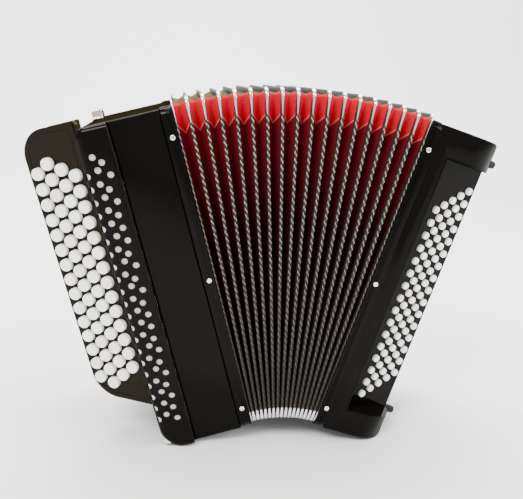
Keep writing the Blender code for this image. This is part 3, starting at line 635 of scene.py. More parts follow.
# %% Model the grille
GRILLE_EDGE = COVER_OUTER - GAP
GRILLE_FRONT = -0.0105
GRILLE_WALL = 0.002
GRILLE_ROLL = 0.007
HOLE_RADIUS = 0.0036
HOLE_PITCH = 0.0146
HOLE_TOP = CASE_HEIGHT - 0.024
HOLE_COLUMNS = (
    # x, stagger in pitches, slant in degrees, height of the first hole, sway to each side
    (-0.0820, 0.0, 0, 0.040, 0.0022),
    (-0.0918, 0.5, 0, 0.040, 0.0016),
    (-0.1022, 0.0, -40, 0.043, 0.0003),
)
SWAY_RATE = 190
SWAY_SHIFT = 60
JITTER_RATE = 610
DRILL_REACH = (-0.014, 0.0045)
DRILL_PIVOT = GRILLE_FRONT + 0.003
KEYHOLE_FRONT = -0.0042
KEYHOLE_LOW = 0.030

grille_y = (GRILLE_FRONT, SOUNDBOARD_Y - GAP)
grille = block("treble_grille_shell", (-TREBLE_WIDTH, GRILLE_EDGE), grille_y, (0, CASE_HEIGHT))
round_outer_corners(grille)
round_edges(
    grille, GRILLE_ROLL, 8,
    lambda a, b: max(a.y, b.y) < GRILLE_FRONT + HAIR and min(a.x, b.x) < GRILLE_EDGE - HAIR,
)
hollow_out(grille, to_back, GRILLE_WALL, GRILLE_WALL + GRILLE_FRONT - SOUNDBOARD_Y + GAP)
keyhole = block(
    "keyhole", (-2 * TREBLE_WIDTH, 2 * GRILLE_WALL - TREBLE_WIDTH),
    (KEYHOLE_FRONT, FAR), (KEYHOLE_LOW, 2 * CASE_HEIGHT),
)
combine(grille, keyhole)
beside_cover = block(
    "beside_cover", (GRILLE_EDGE - 2 * GRILLE_WALL, GRILLE_EDGE + GRILLE_WALL),
    (GRILLE_WALL, 2 * SOUNDBOARD_Y), (2 * GRILLE_WALL, CASE_HEIGHT - 2 * GRILLE_WALL),
)
combine(grille, beside_cover)
drills = []
for column_x, stagger, slant, first, sway in HOLE_COLUMNS:
    turn = Matrix.Rotation(math.radians(slant), 4, "Z")
    for i in range(int((HOLE_TOP - first) / HOLE_PITCH)):
        height = first + HOLE_PITCH * (i + stagger)
        wave = sway * math.sin(height * SWAY_RATE + column_x * SWAY_SHIFT)
        wave += sway / 3 * math.sin(height * JITTER_RATE)
        drill = rod("drill", "y", (0, 0), *DRILL_REACH, HOLE_RADIUS, 16)
        drill.data.transform(Matrix.Translation((column_x + wave, DRILL_PIVOT, height)) @ turn)
        drills.append(drill)
print("holes in the grille:", len(drills))
combine(grille, join(drills, "drills"), crossing=True)
settle(grille, TREBLE, GRILLE_BLACK, "treble", "grille", "treble_grille")

# %% [markdown]
# ## The cloth behind the grille
#
# A thin pale cloth keeps dust out of the reeds. It is a fine grid pulled tight inside the grille: flat
# behind its front, and bent round behind its rolled edge.

# %% Model the grille cloth
CLOTH_THICKNESS = 0.0006
CLOTH_Z = (0.0095, CASE_HEIGHT - 0.0095)
CLOTH_BEND = 0.0046
bend_centre = Vector(
    (GRILLE_WALL + GAP - TREBLE_WIDTH + CLOTH_BEND, GRILLE_FRONT + GRILLE_WALL + 2 * GAP + CLOTH_BEND)
)
flat_part = GRILLE_EDGE - GRILLE_WALL - GAP - bend_centre.x
bent_part = CLOTH_BEND * math.pi / 2
cloth = added("grille_cloth_panel", "grid", x_subdivisions=20, y_subdivisions=60, size=1)
width, length = flat_part + bent_part, CLOTH_Z[1] - CLOTH_Z[0]
for vertex in cloth.data.vertices:
    along, height = (0.5 - vertex.co.x) * width, sum(CLOTH_Z) / 2 + vertex.co.y * length
    angle = max(0, along - flat_part) / CLOTH_BEND
    across = bend_centre.x + max(0, flat_part - along) - CLOTH_BEND * math.sin(angle)
    vertex.co = (across, bend_centre.y - CLOTH_BEND * math.cos(angle), height)
apply(cloth, "SOLIDIFY", thickness=CLOTH_THICKNESS, offset=0)
settle(cloth, TREBLE, GRILLE_CLOTH, "treble", "grille_cloth", "grille_cloth")

# %% [markdown]
# ## The keyboard deck
#
# The deck is a rounded plate that leans outwards, with a hole for every button and a fine scored line just
# inside its edge. It is modelled flat in its own frame, with x across the rows and y into the board.

# %% Model the deck
KEYBOARD_TILT = math.radians(24)
KEYBOARD_X = -0.1565
KEYBOARD_Y = 0.0196
KEYBOARD = TREBLE @ Matrix.Translation((KEYBOARD_X, KEYBOARD_Y, 0)) @ Matrix.Rotation(-KEYBOARD_TILT, 4, "Z")
DECK_THICKNESS = 0.003
DECK_OUTER = -0.0115
DECK_INNER = 0.057
DECK_TOP = 0.394
DECK_FOOT_OUTER = 0.080
DECK_FOOT_INNER = 0.060
DECK_TOP_RADIUS = 0.030
DECK_FOOT_RADIUS = 0.025
TREBLE_PITCH = 0.0175
TREBLE_ROW_STEP = 0.015
TREBLE_FIRST_Z = 0.3475
TREBLE_ROWS = ((0.0, 15), (-0.5, 16), (0.0, 15), (0.5, 14))
TREBLE_BUTTON_RADIUS = 0.0070
TREBLE_BUTTON_PROUD = 0.005
BUTTON_PLAY = 0.0006
DECK_RIM = 0.0008
SCORE_INSET = 0.0045
SCORE_WIDTH = 0.0005
SCORE_DEPTH = 0.0004


def button_drills(board, reach, radius, sides):
    """A drill for every button of a board, whose rows are given as (place across, heights)."""
    return join([
        rod("drill", "y", (across, height), *reach, radius + BUTTON_PLAY, sides)
        for across, heights in board for height in heights
    ], "drills")


TREBLE_BOARD = [
    (TREBLE_ROW_STEP * row, [TREBLE_FIRST_Z - TREBLE_PITCH * (first + i) for i in range(count)])
    for row, (first, count) in enumerate(TREBLE_ROWS)
]

deck_z = (DECK_FOOT_OUTER, DECK_TOP)
deck = block("keyboard_deck_plate", (DECK_OUTER, DECK_INNER), (0, DECK_THICKNESS), deck_z)
pick(deck, "VERT", lambda point: point.x > DECK_INNER - HAIR and point.z < DECK_FOOT_OUTER + HAIR)
bpy.ops.transform.translate(value=(0, 0, DECK_FOOT_INNER - DECK_FOOT_OUTER))
done()
round_edges(
    deck, DECK_TOP_RADIUS, 20,
    lambda a, b: max(a.x, b.x) < DECK_OUTER + HAIR and min(a.z, b.z) > DECK_TOP - HAIR,
)
round_edges(
    deck, DECK_FOOT_RADIUS, 18,
    lambda a, b: max(a.x, b.x) < DECK_OUTER + HAIR and max(a.z, b.z) < DECK_FOOT_OUTER + HAIR,
)
pick(deck, "FACE", to_front)
for step, depth in (DECK_RIM, 0), (SCORE_INSET, 0), (SCORE_WIDTH, -SCORE_DEPTH), (SCORE_WIDTH, SCORE_DEPTH):
    bpy.ops.mesh.inset(thickness=step, depth=depth)
done()
combine(deck, button_drills(TREBLE_BOARD, (-0.01, 0.01), TREBLE_BUTTON_RADIUS, 24))
settle(deck, KEYBOARD, DECK_BLACK, "treble", "case", "keyboard_deck")

# %% [markdown]
# ## The buttons
#
# A button is a short rod with a rounded rim and a very slight dish for the fingertip. It is modelled once
# and copied along a row. Real sets are never quite one colour, so each cap carries its own shade value.

# %% Model the treble buttons
RAIL_DEPTH = DECK_THICKNESS + 0.001
RAIL_THICKNESS = 0.0025


def button_cap(radius, proud, deep):
    cap = rod("cap", "y", (0, 0), -proud, deep, radius, 22)
    round_edges(cap, radius * 0.2, 3, lambda a, b: max(a.y, b.y) < HAIR - proud)
    pick(cap, "FACE", to_front)
    bpy.ops.mesh.inset(thickness=radius * 0.3)
    bpy.ops.transform.translate(value=(0, radius * 0.03, 0))
    done()
    cap.data.attributes.new("cap_shade", "FLOAT", "POINT")
    return cap


def shaded(cap, share):
    """Gives every point of a cap the same shade."""
    values = np.full(len(cap.data.vertices), share, np.float32)
    cap.data.attributes["cap_shade"].data.foreach_set("value", values)


def button_rows(half, place, board, radius, proud):
    """Fills a board: every row is a rail with its caps."""
    master = button_cap(radius, proud, RAIL_DEPTH)
    for number, (across, heights) in enumerate(board, 1):
        caps = []
        for height in heights:
            cap = copy_of(master, "cap", Matrix.Translation((across, 0, height)))
            shaded(cap, random.random() ** 3)
            caps.append(cap)
        width = (across - radius / 2, across + radius / 2)
        ends = (min(heights) - radius / 2, max(heights) + radius / 2)
        rail = soften(block("rail", width, (RAIL_DEPTH, RAIL_DEPTH + RAIL_THICKNESS), ends), 0.0004)
        row, body = join(caps + [rail], f"{half}_caps_row_{number}"), f"{half}_buttons_row_{number}"
        settle(row, place, PEARL, body, "buttons", body, angle=50)
    bpy.data.objects.remove(master)


button_rows("treble", KEYBOARD, TREBLE_BOARD, TREBLE_BUTTON_RADIUS, TREBLE_BUTTON_PROUD)

# %% [markdown]
# ## Copies of worked shapes
#
# The keyboard's body and the strap brackets already have the right shape, but hard edges. A copy is
# merged, its flat faces are cleaned, and its edges are broken. The original is left alone.

# %% Refine copied shapes


def refined(node_name, name, width, segments=2):
    made = copy_of(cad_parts[node_name], name)
    made.data.materials.clear()
    pick(made, "FACE")
    bpy.ops.mesh.remove_doubles(threshold=1e-6)
    bpy.ops.mesh.dissolve_limited(angle_limit=math.radians(0.5))
    done()
    return soften(made, width, segments, 40)


STILL = Matrix.Identity(4)
back_cover = refined("keyboard_back_cover", "keyboard_body_shell", 0.0007)
settle(back_cover, STILL, DECK_BLACK, "treble", "case", "keyboard_back_cover")
for level in ("upper", "lower"):
    loop = refined(f"strap_bracket_{level}", f"strap_loop_{level}", 0.0006, 3)
    settle(loop, STILL, BRACKET_METAL, "treble", "bracket", f"strap_bracket_{level}")

# %% [markdown]
# ## The bass case
#
# The bass case has a big round on its front outer edge and smaller rounds along its top and bottom. Two
# blocks, each with its own rounds, are crossed, and then the inside, the button recess and the end opening
# are cut out of the shell.

# %% Model the bass case
BASS_WIDTH = 0.098
BASS_FRONT_RADIUS = 0.043
BASS_EDGE_RADIUS = 0.015
BASS_BACK_RADIUS = 0.010
RECESS_X = 0.030
RECESS_Z = (0.028, 0.354)
BOARD_TILT = math.radians(24)
BOARD_X = 0.0518
BOARD_Y = 0.0244
BOARD_THICKNESS = 0.003
BOARD_WALL = 0.002
END_Y = (0.053, 0.168)
END_Z = (0.012, 0.374)


def bass_block(name, inset=0.0, inner=FRAME_WIDTH + GAP):
    """The bass half's rounded body, moved in by the inset."""
    outer = BASS_WIDTH - inset
    body = block(name, (inner, outer), (inset, CASE_DEPTH - inset), (inset, CASE_HEIGHT - inset))
    round_edges(
        body, BASS_FRONT_RADIUS - inset, 24,
        lambda a, b: min(a.x, b.x) > outer - HAIR and max(a.y, b.y) < inset + HAIR,
    )
    round_edges(
        body, BASS_BACK_RADIUS - inset, 8,
        lambda a, b: min(a.x, b.x) > outer - HAIR and min(a.y, b.y) > CASE_DEPTH - inset - HAIR,
    )
    profile = block("profile", (-FAR, outer), (-FAR, 3 * FAR), (inset, CASE_HEIGHT - inset))
    round_edges(
        profile, BASS_EDGE_RADIUS - inset, 10,
        lambda a, b: min(a.x, b.x) > outer - HAIR and abs(a.z - b.z) < HAIR,
    )
    return combine(body, profile, "INTERSECT")


def wedge(name, start, drop, margin):
    """The space in front of the slanting button board, from its start to well outside the case."""
    made = block(name, (start, BASS_WIDTH + FAR), (-FAR, 0), (RECESS_Z[0] + margin, RECESS_Z[1] - margin))
    for vertex in made.data.vertices:
        if vertex.co.y > -HAIR:
            vertex.co.y = BOARD_Y + (vertex.co.x - BOARD_X) * math.tan(BOARD_TILT) + drop
    return made


shell = bass_block("bass_case_shell")
combine(shell, bass_block("inside", CASE_WALL, -FAR))
combine(shell, wedge("recess", RECESS_X, (BOARD_THICKNESS + GAP) / math.cos(BOARD_TILT), 0))
round_plate = [(low - GAP, high + GAP) for low, high in (END_Y, END_Z)]
combine(shell, block("opening", (BASS_WIDTH / 2, 2 * BASS_WIDTH), *round_plate))
soften(shell, 0.0009, 3, 50)
settle(shell, BASS, CASE_BLACK, "bass", "case", "bass_case")

# %% [markdown]
# ## The bass board and its buttons
#
# The bass buttons lie in a sunk tray whose polished walls mirror them. The tray is one wedge less a smaller
# one, and its 80 holes stand on a slanting lattice: each row sits half a step higher than the one before.

# %% Model the bass board
BOARD = BASS @ Matrix.Translation((BOARD_X, BOARD_Y, 0)) @ Matrix.Rotation(BOARD_TILT, 4, "Z")
BASS_ROWS = 5
BASS_COLUMNS = 16
BASS_PITCH = 0.01635
BASS_ROW_STEP = 0.0103
BASS_FIRST_Z = 0.2923
BASS_BUTTON_RADIUS = 0.0045
BASS_BUTTON_PROUD = 0.003
BASS_BOARD = [
    (BASS_ROW_STEP * row, [BASS_FIRST_Z + BASS_PITCH * (row / 2 - i) for i in range(BASS_COLUMNS)])
    for row in range(BASS_ROWS)
]

tray = wedge("bass_board_tray", RECESS_X + GAP, BOARD_THICKNESS / math.cos(BOARD_TILT), GAP)
combine(tray, bass_block("outside"), "INTERSECT")
combine(tray, wedge("hollow", RECESS_X + GAP + BOARD_WALL, 0, GAP + BOARD_WALL))
drills = button_drills(BASS_BOARD, (-0.004, 0.008), BASS_BUTTON_RADIUS, 20)
drills.data.transform(BASS.inverted() @ BOARD)
combine(tray, drills)
settle(tray, BASS, CASE_BLACK, "bass", "case", "bass_button_board")
button_rows("bass", BOARD, BASS_BOARD, BASS_BUTTON_RADIUS, BASS_BUTTON_PROUD)

# %% [markdown]
# ## The bass end
#
# The end cover closes the mechanism. On it stand four rubber feet for setting the instrument down, the air
# button with its vent, and the bracket and wheel that tighten the hand strap.

# %% Model the bass end
END_THICKNESS = 0.0033
END_DRILL = (0.08, 0.12)
AIR_Y = 0.158
AIR_Z = 0.250
AIR_HOLE_RADIUS = 0.0056
KNOB_RADIUS = 0.005
KNOB_TOP = BASS_WIDTH + 0.007
VENT_DROP = 0.030
VENT_RADIUS = 0.0045
VENT_HOLE_RADIUS = 0.0015
FOOT_LENGTH = 0.020
FOOT_RADIUS = 0.006
FOOT_TAPER = 0.26
STRAP_Y = 0.126
STRAP_WIDTH = 0.044
STRAP_Z = (0.044, 0.336)
STRAP_BULGE = 0.014
CLAMP_MARGIN = 0.003
CLAMP_HEIGHT = 0.012
CLAMP_TOP = BASS_WIDTH + 0.010
WHEEL_X = BASS_WIDTH + 2 * GAP + 0.005
WHEEL_HEIGHT = 0.006
WHEEL_RADIUS = 0.0044
WHEEL_TEETH = 20
TOOTH_DEPTH = 0.0006

plate = block("bass_end_plate", (BASS_WIDTH - END_THICKNESS, BASS_WIDTH), END_Y, END_Z)
round_edges(plate, 0.001, 3, lambda a, b: min(a.x, b.x) > BASS_WIDTH - HAIR)
combine(plate, rod("drill", "x", (AIR_Y, AIR_Z), *END_DRILL, AIR_HOLE_RADIUS, 32))
for turn in range(7):
    angle, reach = turn * math.pi / 3, (VENT_RADIUS if turn else 0)
    centre = (AIR_Y + reach * math.cos(angle), AIR_Z - VENT_DROP + reach * math.sin(angle))
    combine(plate, rod("drill", "x", centre, *END_DRILL, VENT_HOLE_RADIUS, 16))
settle(plate, BASS, CASE_BLACK, "bass", "case", "bass_end_cover")

for number in range(1, 5):
    points = [BASS.inverted() @ v.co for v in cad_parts[f"bass_foot_{number}"].data.vertices]
    centre = [(min(p[i] for p in points) + max(p[i] for p in points)) / 2 for i in (1, 2)]
    tip = BASS_WIDTH + FOOT_LENGTH
    foot = rod(f"rubber_foot_{number}", "x", centre, BASS_WIDTH + GAP, tip, FOOT_RADIUS, 32)
    round_edges(foot, FOOT_RADIUS * 0.3, 5, lambda a, b: min(a.x, b.x) > tip - HAIR)
    for vertex in foot.data.vertices:
        taper = 1 - FOOT_TAPER * (vertex.co.x - BASS_WIDTH) / FOOT_LENGTH
        vertex.co.y = centre[0] + (vertex.co.y - centre[0]) * taper
        vertex.co.z = centre[1] + (vertex.co.z - centre[1]) * taper
    settle(foot, BASS, RUBBER, "bass", "foot", f"bass_foot_{number}")

knob_low = BASS_WIDTH - END_THICKNESS - 0.002
knob = rod("air_button_cap", "x", (AIR_Y, AIR_Z), knob_low, KNOB_TOP, KNOB_RADIUS, 32)
round_edges(knob, 0.0014, 4, lambda a, b: min(a.x, b.x) > KNOB_TOP - HAIR)
settle(knob, BASS, PEARL, "air_button", "buttons", "air_button")

side = STRAP_WIDTH / 2 + CLAMP_MARGIN
clamp_z = (STRAP_Z[1] + GAP, STRAP_Z[1] + GAP + CLAMP_HEIGHT)
clamp = block("strap_clamp", (BASS_WIDTH + GAP, CLAMP_TOP), (STRAP_Y - side, STRAP_Y + side), clamp_z)
soften(clamp, 0.0022, 4)
settle(clamp, BASS, CHROME, "bass", "bracket", "hand_strap_bracket")


def on_tooth(centre, normal):
    """True for every second face round the wheel's rim."""
    place = (math.atan2(normal.y, normal.x) % math.tau) / math.tau
    return abs(normal.z) < 0.01 and int(place * 2 * WHEEL_TEETH) % 2 == 0


wheel_low = clamp_z[1] + GAP
wheel = rod("adjuster_wheel", "z", (WHEEL_X, STRAP_Y), wheel_low, wheel_low + WHEEL_HEIGHT, WHEEL_RADIUS, 40)
round_edges(wheel, 0.0006, 2, lambda a, b: abs(a.z - b.z) < HAIR)
pick(wheel, "FACE", on_tooth)
bpy.ops.mesh.extrude_faces_move(TRANSFORM_OT_shrink_fatten={"value": TOOTH_DEPTH})
done()
settle(wheel, BASS, CHROME, "strap_adjuster_wheel", "bracket", "strap_adjuster_wheel")

# %% [markdown]
# ## The hand strap
#
# The left hand works inside a padded leather strap. It is a long slab that follows the strap's bow, thicker
# along its middle and thin at its sewn edges, with a row of stitches along each side.

# %% Model the hand strap
STRAP_EDGE = 0.0016
STRAP_MIDDLE = 0.0042
STITCH_LINE = 0.82
STITCHES = 60
STITCH_HALF = 0.0012
STITCH_RADIUS = 0.0004
STITCH_DIP = 0.0007


def strap_line(share):
    """The strap's own run, as (x, z), from its lower end to its upper end."""
    bulge = STRAP_BULGE * math.sin(math.pi * min(max(share, 0), 1)) ** 0.75
    return Vector((BASS_WIDTH + GAP + bulge, STRAP_Z[0] + (STRAP_Z[1] - STRAP_Z[0]) * share))


def strap_run(share):
    return strap_line(share + 0.01) - strap_line(share - 0.01)


def strap_point(share, side, height):
    """A point of the strap: along it, across it from -1 to 1, and above its inner face."""
    run = strap_run(share)
    out = Vector((run.y, -run.x)).normalized()
    spot = strap_line(share) + out * height
    return Vector((max(spot.x, BASS_WIDTH + GAP), STRAP_Y + side * STRAP_WIDTH / 2, spot.y))


strap = block("hand_strap_padded", (0, 1), (-1, 1), (0, 1))
pick(strap, "FACE")
bpy.ops.mesh.subdivide(number_cuts=11)
done()
apply(strap, "SUBSURF", subdivision_type="SIMPLE", levels=2, render_levels=2)
for vertex in strap.data.vertices:
    share, side, height = vertex.co.z, vertex.co.y, vertex.co.x
    crown = (1 - abs(side) ** 2.4) * (STRAP_MIDDLE - STRAP_EDGE) * min(1, 6 * share, 6 * (1 - share))
    dip = STITCH_DIP * math.exp(-(((abs(side) - STITCH_LINE) / 0.05) ** 2))
    vertex.co = strap_point(share, side, height * (STRAP_EDGE + crown - dip))
stitches = []
stitch = rod("stitch", "z", (0, 0), -STITCH_HALF, STITCH_HALF, STITCH_RADIUS, 6)
for side in (-STITCH_LINE, STITCH_LINE):
    for i in range(3, STITCHES - 2):
        share = (i + 0.5) / STITCHES
        run = strap_run(share)
        lean = Matrix.Rotation(math.atan2(run.x, run.y), 4, "Y")
        spot = strap_point(share, side, STRAP_EDGE + 0.0002)
        stitches.append(copy_of(stitch, "stitch", Matrix.Translation(spot) @ lean))
bpy.data.objects.remove(stitch)
settle(strap, BASS, STRAP_LEATHER, "bass", "strap", "bass_hand_strap", angle=60)
seam = join(stitches, "hand_strap_stitches")
settle(seam, BASS, THREAD, "bass", "strap")

# %% [markdown]
# ## The end rings and their pins
#
# A ring frames each end of the bellows, and chrome pins with a dimple in their heads hold it to its case.
# A ring is one rounded block less a smaller one.

# %% Model the end rings and the pins
FRAME_BAR = 0.014
FOLD_RADIUS = 0.010
GROOVES = (0.0030, 0.0056)
GROOVE_WIDTH = 0.0007
PIN_HEIGHTS = (0.026, 0.190, 0.354)
PIN_RADIUS = 0.0031
PIN_PROUD = 0.0016
PIN_ROUND = 0.0012


def ring_of(name, x, inset, radius, bar, inner_radius, top=CASE_HEIGHT, segments=8):
    """A rounded rectangular ring between two x values. Its outside is moved in by the inset."""
    shapes = []
    for title, off, round_by, limits in (
        (name, inset, radius, x), ("hole", inset + bar, inner_radius, (min(x) - 0.01, max(x) + 0.01))
    ):
        shape = block(title, limits, (off, CASE_DEPTH - off), (off, top - off))
        round_edges(shape, round_by, segments, lambda a, b: abs(a.x - b.x) > HAIR)
        shapes.append(shape)
    return combine(shapes[0], shapes[1])


def pin_head(y, z, x, out):
    """A domed pin with a dimple. out is -1 on the front and 1 on the back."""
    tip = y + out * PIN_PROUD
    head = rod("pin", "y", (x, z), y, tip, PIN_RADIUS, 24)
    round_edges(head, PIN_ROUND, 4, lambda a, b: abs(a.y - tip) + abs(b.y - tip) < HAIR)
    hollow_out(head, to_back if out > 0 else to_front, 0.0007, -out * 0.0006)
    return head


for half, place, side in (("treble", TREBLE, -1), ("bass", BASS, 1)):
    ring = ring_of(
        f"bellows_end_ring_{half}", (0, side * FRAME_WIDTH),
        -FRAME_LIP, FOLD_RADIUS + FRAME_LIP, FRAME_BAR + FRAME_LIP, FOLD_RADIUS / 2,
    )
    soften(ring, 0.0008, 3, 40)
    for groove in GROOVES:
        combine(ring, ring_of(
            "groove", (side * groove, side * (groove + GROOVE_WIDTH)),
            -2 * FRAME_LIP, FOLD_RADIUS + 2 * FRAME_LIP, 2.5 * FRAME_LIP, FOLD_RADIUS,
        ))
    settle(ring, place, CASE_BLACK, half, "case", f"bellows_frame_{half}")
    pins = []
    for height in PIN_HEIGHTS:
        pins.append(pin_head(-FRAME_LIP, height, side * FRAME_WIDTH / 2, -1))
        pins.append(pin_head(CASE_DEPTH + FRAME_LIP, height, side * FRAME_WIDTH / 2, 1))
    settle(join(pins, f"bellows_pins_{half}"), place, CHROME, half, "steel")

# %% [markdown]
# ## The ridges of the bellows
#
# Each fold ends in a ridge bound with black tape, with a twisted silver cord down its front and a chrome
# cap over each corner. The two strands of the cord are small circles turned by a Screw modifier. The caps
# are what four blocks leave of a thicker ring. Tape, caps and cord are made once and copied to every plane.

# %% Model the ridges
TAPE_WIDTH = 0.0038
TAPE_DEPTH = 0.008
TAPE_INSET = 0.0012
CAP_REACH = (0.019, 0.032)
CAP_TAPER = (0.3, 0.75)
CAP_THICKNESS = 0.0040
CAP_DEPTH = 0.0065
CAP_PROUD = 0.0005
CORD_STRAND = 0.0009
CORD_PITCH = 0.0076
CORD_LOW = 0.018
CORD_PROUD = 0.0007
END_RIDGE_BESIDE = 0.0012
FOLD_RISE = 0.008
FOLD_TOP = CASE_HEIGHT + FOLD_RISE


def ridge(name, thickness, inset, bar):
    return ring_of(name, (-thickness / 2, thickness / 2), inset, FOLD_RADIUS, bar, FOLD_RADIUS / 2, FOLD_TOP)


tape = soften(ridge("tape", TAPE_WIDTH, TAPE_INSET, TAPE_DEPTH), 0.0012, 3, 60)
caps = soften(ridge("caps", CAP_THICKNESS, TAPE_INSET - CAP_PROUD, CAP_DEPTH), 0.0016, 4, 60)
corners = []
for y in (0, CASE_DEPTH):
    for z, reach in zip((0, FOLD_TOP), CAP_REACH):
        inward = (-1 if y else 1, -1 if z else 1)
        corners.append(block(
            "corner", (-0.01, 0.01), (y - inward[0] * 0.01, y + inward[0] * CAP_REACH[0]),
            (z - inward[1] * 0.01, z + inward[1] * reach),
        ))
combine(caps, join(corners, "corners"), "INTERSECT")
for vertex in caps.data.vertices:
    upper = vertex.co.z > FOLD_TOP / 2
    down = (FOLD_TOP - vertex.co.z) / CAP_REACH[1] if upper else vertex.co.z / CAP_REACH[0]
    deep = min(vertex.co.y, CASE_DEPTH - vertex.co.y) / CAP_REACH[0]
    vertex.co.x *= 1 - CAP_TAPER[upper] * max(0, max(down, deep) - 0.5) / 0.5

CORD_LENGTH = FOLD_TOP - CAP_REACH[1] + 0.003 - CORD_LOW
CORD_TURNS = round(CORD_LENGTH / CORD_PITCH)


def strand(name, angle, look):
    """One strand of the cord, a small circle screwed up the length of the ridge."""
    offset = (CORD_STRAND * math.cos(angle), CORD_STRAND * math.sin(angle), 0)
    made = added(name, "circle", vertices=6, radius=CORD_STRAND, fill_type="NOTHING", location=offset)
    apply(
        made, "SCREW", axis="Z", angle=-math.tau * CORD_TURNS, screw_offset=CORD_LENGTH,
        steps=CORD_TURNS * 10, render_steps=CORD_TURNS * 10, use_merge_vertices=False,
    )
    pick(made, "FACE")
    bpy.ops.mesh.normals_make_consistent(inside=False)
    done()
    made.data.materials.append(look)
    return made


cord = join([strand("silver", 0, THREAD), strand("black", math.pi, TAPE)], "cord")
cord.data.transform(Matrix.Translation((0, TAPE_INSET - CORD_PROUD, CORD_LOW)))
print("cord:", CORD_TURNS, "turns,", len(cord.data.polygons), "faces")

for index in range(FOLDS + 2):
    place = fold_place(index / (FOLDS + 1))
    body = f"bellows_fold_{index:02d}"
    nodes = (body,)
    if index == 0 or index == FOLDS + 1:
        body, beside = ("treble", END_RIDGE_BESIDE) if index == 0 else ("bass", -END_RIDGE_BESIDE)
        nodes = ()
        place = place @ Matrix.Translation((beside, 0, 0)) @ Matrix.Diagonal((0.5, 1, 1, 1))
    bound = copy_of(tape, f"ridge_tape_{index:02d}")
    capped = copy_of(caps, f"ridge_caps_{index:02d}")
    twisted = copy_of(cord, f"ridge_cord_{index:02d}")
    settle(bound, place, TAPE, body, "bellows", *nodes)
    settle(capped, place, CHROME, body, "steel", angle=50)
    settle(twisted, place, None, body, "bellows", angle=80)
for master in (tape, caps, cord):
    bpy.data.objects.remove(master)

# %% [markdown]
# ## The bellows cloth
#
# Between the ridges the cloth runs in deep valleys. It starts as a rounded tube, extruded once for every
# quarter of a pleat. Each ring of points then goes to its own plane of the fan, and is drawn in towards the
# middle by the depth of the pleat there. The colour follows the length of the run round the ring: the
# corner gussets are bright red leather, with painted highlights along the creases where they meet the
# walls, and below them the dark red walls are painted darker towards the bottom, as shade, to nearly
# black. The top and bottom faces of the pleats take a flat olive-brown, a painted sheen.

# %% Model the bellows cloth
QUARTERS = 4
PLEAT_DEPTH = 0.021
CORNER_DEPTH = 0.0035
CLOTH_EDGE = 0.0045
GUSSET = 0.030
GUSSET_FLAT = 0.68
CUTS = ((50, 2), (22, 1))

around = [(CLOTH_EDGE, size - CLOTH_EDGE) for size in (CASE_DEPTH, FOLD_TOP)]
tube = block("bellows_cloth", (-0.5, 0), *around)
pick(tube, "FACE", lambda centre, normal: abs(normal.x) > 0.9)
bpy.ops.mesh.delete(type="FACE")
done()
round_edges(tube, FOLD_RADIUS - CLOTH_EDGE, 5, lambda a, b: abs(a.x - b.x) > HAIR)
pick(tube, "EDGE", lambda a, b: min(a.x, b.x) > -HAIR)
for quarter in range((FOLDS + 1) * QUARTERS):
    bpy.ops.mesh.extrude_region_move(TRANSFORM_OT_translate={"value": (1, 0, 0)})
done()
pick(tube, "VERT", lambda point: point.x < -0.1)
bpy.ops.mesh.delete(type="VERT")
done()
for count, axis in CUTS:
    way = [int(axis == i) for i in range(3)]
    for cut in range(1, count):
        pick(tube, "FACE")
        bpy.ops.mesh.bisect(plane_co=(0, CASE_DEPTH * cut / count, FOLD_TOP * cut / count), plane_no=way)
        done()
shares = []
runs = []
depths = []
for vertex in tube.data.vertices:
    station = vertex.co.x / QUARTERS
    y, z = vertex.co.y, vertex.co.z
    into = 1 - abs(2 * (station % 1) - 1)
    to_side, to_end = min(y, CASE_DEPTH - y), min(z, FOLD_TOP - z)
    corner = Vector((max(0, FOLD_RADIUS - to_side), max(0, FOLD_RADIUS - to_end)))
    in_corner = corner.x > 0 and corner.y > 0
    from_corner = 0 if in_corner else max(to_side, to_end) - FOLD_RADIUS
    fullness = min(1, from_corner / GUSSET) * into
    inset = CORNER_DEPTH * into + (PLEAT_DEPTH - CLOTH_EDGE - CORNER_DEPTH) * fullness
    away = corner.normalized() if in_corner else Vector((to_side < to_end, to_side >= to_end))
    flat_y = y + away.x * inset * (1 if y < CASE_DEPTH / 2 else -1)
    flat_z = z + away.y * inset * (1 if z < FOLD_TOP / 2 else -1)
    if to_end > to_side or z < FOLD_TOP / 2 and z > CLOTH_EDGE + HAIR:
        run = z
    else:
        run = z + to_side if z > FOLD_TOP / 2 else -to_side
    share = station / (FOLDS + 1)
    vertex.co = fold_place(share) @ Vector((0, flat_y, flat_z))
    shares.append(share)
    runs.append(run)
    depths.append(into)
for title, values in (("fan_share", shares), ("ring_run", runs), ("pleat_depth", depths)):
    layer = tube.data.attributes.new(title, "FLOAT", "POINT")
    layer.data.foreach_set("value", np.array(values, np.float32))
pick(tube, "FACE")
bpy.ops.mesh.normals_make_consistent(inside=False)
done()
apply(tube, "SOLIDIFY", thickness=0.0005, offset=0)

BELLOWS_CLOTH = finish("bellows_cloth", (0.03, 0.002, 0.003), 0.6, specular=0.06)
tree = BELLOWS_CLOTH.node_tree
run = node(tree, "Attribute", {"attribute_name": "ring_run"}).outputs["Fac"]
depth = node(tree, "Attribute", {"attribute_name": "pleat_depth"}).outputs["Fac"]
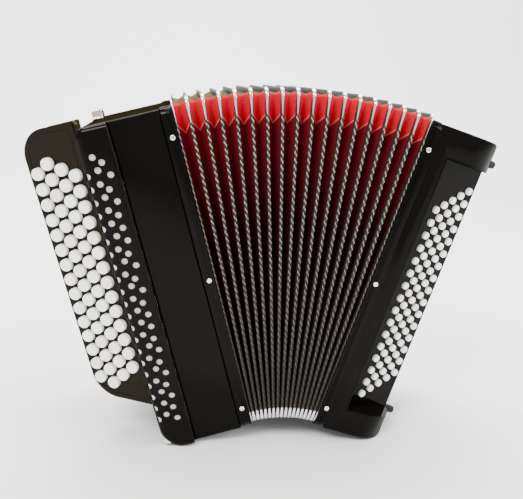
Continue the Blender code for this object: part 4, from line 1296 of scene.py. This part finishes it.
# The walls are dark red cloth, painted darker towards the bottom as shade: the lower end of the ramp is
# painted shade.
ramp = node(tree, "ValToRGB", {}, {"Fac": remap(tree, run, 0.0, FOLD_TOP)})
cloth_and_shade_stops = (
    (0.0, (0.004, 0.002, 0.002)), (0.30, (0.006, 0.001, 0.001)), (0.62, (0.030, 0.0015, 0.003)),
    (0.80, (0.085, 0.003, 0.007)), (0.95, (0.15, 0.004, 0.010)),
)
elements = ramp.color_ramp.elements
for spot, colour in cloth_and_shade_stops[1:-1]:
    elements.new(spot)
for element, (spot, colour) in zip(elements, cloth_and_shade_stops):
    element.position = spot
    element.color = (*colour, 1)
down = node(
    tree, "MapRange", {"clamp": False},
    {0: run, 1: FOLD_TOP, 2: FOLD_TOP - GUSSET - FOLD_RADIUS, 3: 0.0, 4: 1.0},
)
seam = sums(tree, "MULTIPLY_ADD", depth, 1 - GUSSET_FLAT, GUSSET_FLAT)
past = sums(tree, "SUBTRACT", down.outputs[0], seam)
red = mixed(tree, remap(tree, past, -0.01, 0.01, 1.0, 0.0), ramp.outputs[0], (0.40, 0.002, 0.012))
# Painted highlight: pale lines along the creases where the gussets meet the walls.
crease_highlight = remap(tree, sums(tree, "ABSOLUTE", past), 0.012, 0.04, 0.55, 0.0)
lit = mixed(tree, crease_highlight, red, (0.62, 0.16, 0.15))
# Painted sheen: the top and bottom faces of the pleats take a flat olive-brown.
above = sums(tree, "GREATER_THAN", run, FOLD_TOP + 0.001)
below = sums(tree, "LESS_THAN", run, -0.0015)
two_tone(BELLOWS_CLOTH, sums(tree, "MAXIMUM", above, below), lit, (0.095, 0.062, 0.02))
threads = use(BELLOWS_CLOTH, weave, Threads=420.0, Wobble=1.2)
bump(BELLOWS_CLOTH, threads.outputs["Height"], 0.0002, 0.5)
tube.data.materials.append(BELLOWS_CLOTH)
smooth(tube, 25)
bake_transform(tube)
share_values = np.zeros(len(tube.data.vertices), np.float32)
tube.data.attributes["fan_share"].data.foreach_get("value", share_values)
print("bellows cloth:", len(tube.data.polygons), "faces")

# %% [markdown]
# ## The inner works
#
# The soundboards, reed blocks, pallets and axles keep their worked shapes, and only take their finishes.

# %% Finish the inner works
INNER = (
    ("soundboard", ALUMINIUM), ("reed_block", SPRUCE), ("pallets", ALUMINIUM),
    ("axle", STEEL), ("valve", ALUMINIUM),
)
for node_name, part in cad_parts.items():
    for word, look in INNER:
        if word in node_name and not part.hide_render:
            part.data.materials.clear()
            part.data.materials.append(look)
shown = [name for name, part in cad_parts.items() if not part.hide_render]
print("worked shapes still shown:", shown)
